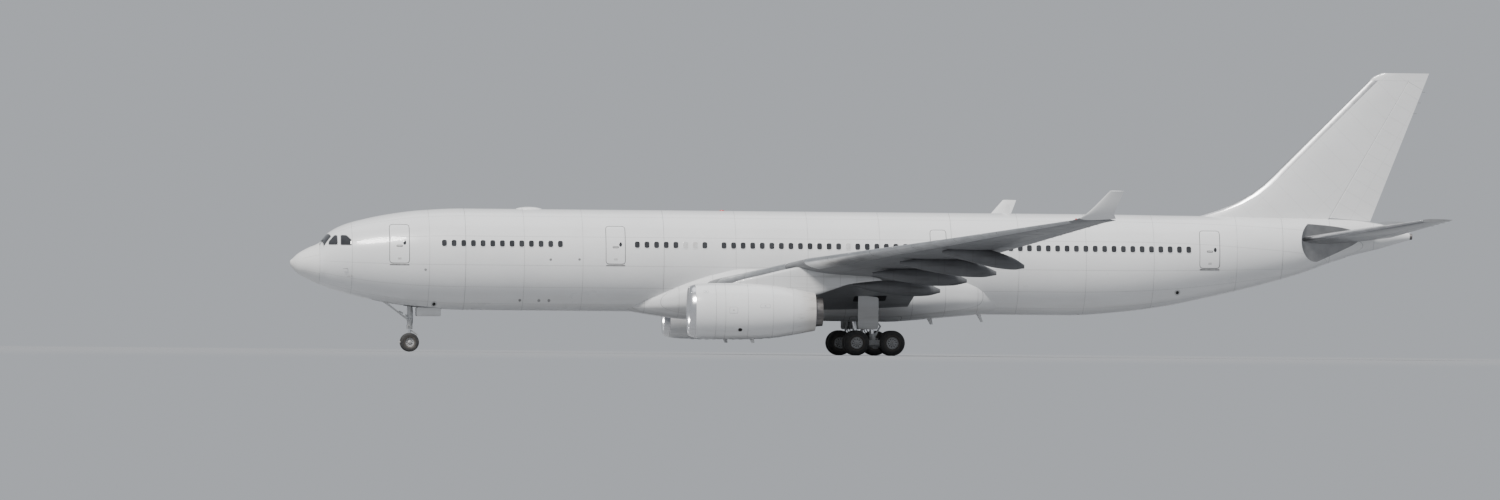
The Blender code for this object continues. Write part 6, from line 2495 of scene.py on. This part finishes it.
def make_wing_fittings(word, sign):
    """Spoilers, tank covers, lamps and static dischargers of one wing, and its tailplane's."""
    surface = airfoil(WING, sign)
    make_spoilers(word, sign, surface)
    make_access_panels(word, sign, surface)
    glow = bmesh.new()
    tip = surface(leading_edge(28.80) + 0.03, 28.80, 1)
    lens(glow, tip, (-AFT * 0.9 + ACROSS * sign * 0.3 + DOWN * 0.1).normalized(), ACROSS, 0.20, 0.05, 0.06)
    piece("navigation_light_" + word, glow, RED_LENS if sign < 0 else GREEN_LENS)
    lamps = bmesh.new()
    for side in (3.30, 3.62):
        spot = surface(leading_edge(side) + 0.06, side, -1)
        lens(lamps, spot, (-AFT + DOWN * 0.25).normalized(), ACROSS, 0.13, 0.12, 0.04)
    piece("landing_lights_" + word, lamps, CLEAR_LENS)
    for place, (first, last) in AILERONS:
        feet = [surface(trailing_edge(side) - 0.02, side, 1) for side in steps(first + 0.4, last - 0.5, 3)]
        make_wicks("wicks_%s_%s" % (place, word), "aileron_%s_%s" % (place, word), feet)
    tail = airfoil(TAILPLANE, sign)
    feet = [tail(tail_edge(1.0)(side) - 0.02, side, 1) for side in (6.4, 7.2, 8.0, 8.8)]
    make_wicks("wicks_elevator_" + word, "elevator_" + word, feet)


def cowl_place(sign):
    """A place function for plates on a cowl: stations and girth from its top, outboard first."""
    def place(station, arc, lift):
        radius, turn = float(COWL_FLOW(station)[0]) + lift, arc / 1.5
        return at(station, sign * (ENGINE_SIDE + radius * sin(turn)), ENGINE_HEIGHT + radius * cos(turn))
    return place


# Station and girth of the cowl's doors, with half length, half height and corner radius
COWL_DOORS = ((23.85, 2.30, 0.22, 0.16, 0.05), (24.10, -2.45, 0.20, 0.14, 0.05),
              (25.60, 2.05, 0.26, 0.10, 0.04), (22.35, 1.20, 0.12, 0.09, 0.04),
              (25.95, -1.90, 0.22, 0.16, 0.05))
COWL_PORT = (24.24, 3.43, 0.105)
CHINE = (22.95, 24.35, -1.32, 0.26)


def make_engine_fittings(word, sign):
    """Latches, doors, vents, the drain mast and the chine of one engine's cowls."""
    place = cowl_place(sign)
    seals, plates, dark, metal = (bmesh.new() for _ in range(4))
    for station, arc, half, rise, corner in COWL_DOORS:
        whole = divided(patch(station - half, arc - rise, station + half, arc + rise, corner), 0.12)
        plate(seals, grown(whole, 0.008), place, ((0.0, 0.0015), (0.002, 0.002)), fill=3)
        plate(plates, whole, place, ((0.0, 0.003), (0.006, 0.007)), fill=3)
        grip = patch(station - 0.04, arc - 0.02, station + 0.04, arc + 0.02, 0.01)
        plate(metal, grip, place, ((0.0, 0.007), (0.004, 0.011)), fill=2)
    # The port and the vent slits are dark plates of painted shade.
    x, arc, radius = COWL_PORT
    plate(dark, circle(x, arc, radius), place, ((0.0, 0.003), (0.006, 0.004)), fill=2)
    frame_strip(metal, circle(x, arc, radius + 0.02, 28), place, 0.02, 0.012)
    for x in steps(25.1, 25.7, 5):
        slit = patch(x - 0.02, -0.95, x + 0.03, -0.60, 0.015)
        plate(dark, slit, place, ((0.0, 0.003), (0.004, 0.004)), fill=2)
    for x in (23.15, 23.55, 23.95, 24.35, 24.95, 25.45, 25.95, 26.45):
        for arc in (4.66, 4.765):
            latch = patch(x - 0.09, arc - 0.03, x + 0.09, arc + 0.03, 0.02)
            plate(metal, latch, place, ((0.0, 0.003), (0.008, 0.010)), fill=2)
    piece("cowl_door_seals_" + word, seals, SEAL_RUBBER)
    piece("cowl_doors_" + word, plates, COWL_PAINT, "white_paint")
    piece("cowl_openings_" + word, dark, HOLLOW_SHADE)
    piece("cowl_latches_" + word, metal, WORN_METAL)

    mast = bmesh.new()
    blade_aerial(mast, place(24.86, 4.712, 0.0), DOWN, AFT, 0.20, 0.24, 0.10, tip_share=0.7, thick=0.25)
    x0, x1, arc, height = CHINE
    rows = []
    for share in steps(0, 1, 14):
        x = x0 + share * (x1 - x0)
        rise = height * sin(pi * min(0.5, share * 0.62)) * (1.0 if share < 0.9 else 1 - (share - 0.9) * 6)
        rows.append([place(x, arc - 0.02, -0.01), place(x, arc - 0.006, max(rise, 0.01)),
                     place(x, arc + 0.006, max(rise, 0.01)), place(x, arc + 0.02, -0.01)])
    loft(mast, rows)
    piece("cowl_chine_and_mast_" + word, mast, COWL_PAINT, "white_paint")


OUTFLOW = ((7.95, -2.50, 0.17), (49.30, -1.50, 0.17))


def make_tail_fittings():
    """The auxiliary unit's exhaust and intake, the tail lamp, outflow valves and rudder dischargers."""
    pipe = bmesh.new()
    end = at(HULL_END, 0, 1.73)
    profile = ((-0.10, 0.16), (0.0, 0.172), (0.14, 0.165), (0.15, 0.155), (0.13, 0.145), (-0.28, 0.135))
    turned(pipe, profile, end, AFT, 40)
    piece("exhaust_pipe", pipe, NOZZLE_METAL, "nozzle_metal")
    # The exhaust's bore, the intake and the valves' holes are dark plates of painted shade.
    dark = bmesh.new()
    turned(dark, ((0.02, 0.0), (0.02, 0.146), (-0.02, 0.146), (-0.02, 0.0)), end, AFT, 32, closed=False)
    intake = divided(patch(58.2, pi * HULL_RADIUS - 0.30, 58.9, pi * HULL_RADIUS + 0.30, 0.12), 0.15)
    plate(dark, intake, hull_round, ((0.0, 0.004), (0.005, 0.006)), fill=3)
    glow, metal = bmesh.new(), bmesh.new()
    lens(glow, at(HULL_END + 0.01, 0, 1.955), AFT, ACROSS, 0.05, 0.035, 0.05)
    for sign in (-1, 1):
        for station, height, radius in OUTFLOW:
            place = hull_side(sign)
            plate(metal, circle(station, height, radius), place, ((0.0, 0.003), (0.02, 0.007)), fill=3)
            hole = circle(station, height, radius * 0.55)
            plate(dark, hole, place, ((0.0, 0.008), (0.01, 0.009)), fill=2)
    piece("exhaust_opening", dark, HOLLOW_SHADE)
    piece("tail_light", glow, CLEAR_LENS)
    piece("outflow_valves", metal, FITTING_PAINT)
    feet = [fin_surface(fin_back(z) - 0.03, z, 1) for z in (8.6, 9.2, 9.8)]
    make_wicks("wicks_rudder", "rudder", feet)


SEAT_FRONT = TAILPLANE[0][1] - 0.10
SEAT_BACK = 62.6
SEAT_MIDDLE = 1.42
SEAT_ROUND = (0.85, 1.14)
SEAT_DEPTH = (0.0, 1.6)


def tail_seats():
    """The blocks with rounded fronts that cut the flats beside the tail cone for the tailplane's roots."""
    tool = bmesh.new()
    long, tall = SEAT_ROUND
    outline = [(SEAT_FRONT + long - long * cos(t), SEAT_MIDDLE + tall * sin(t))
               for t in steps(-pi / 2, pi / 2, 40)]
    outline += [(SEAT_BACK, SEAT_MIDDLE + tall), (SEAT_BACK, SEAT_MIDDLE - tall)]
    for sign in (-1, 1):
        depths = [sign * (TAIL_ROOT_SIDE + depth) for depth in SEAT_DEPTH]
        loft(tool, [[at(x, y, z) for x, z in outline] for y in depths])
    return tool


make_camera()
make_stage()
make_skins()
make_belly()
make_doors()
make_windows()
make_flight_deck()
make_hump()
make_aerials()
make_beacons()
make_fin()
make_nose_gear()
make_tail_fittings()
for side_word, side_sign in SIDES:
    make_wing(side_word, side_sign)
    make_canoes(side_word, side_sign)
    make_winglet(side_word, side_sign)
    make_tailplane(side_word, side_sign)
    make_engine(side_word, side_sign)
    make_main_gear(side_word, side_sign)
    make_wing_fittings(side_word, side_sign)
    make_engine_fittings(side_word, side_sign)
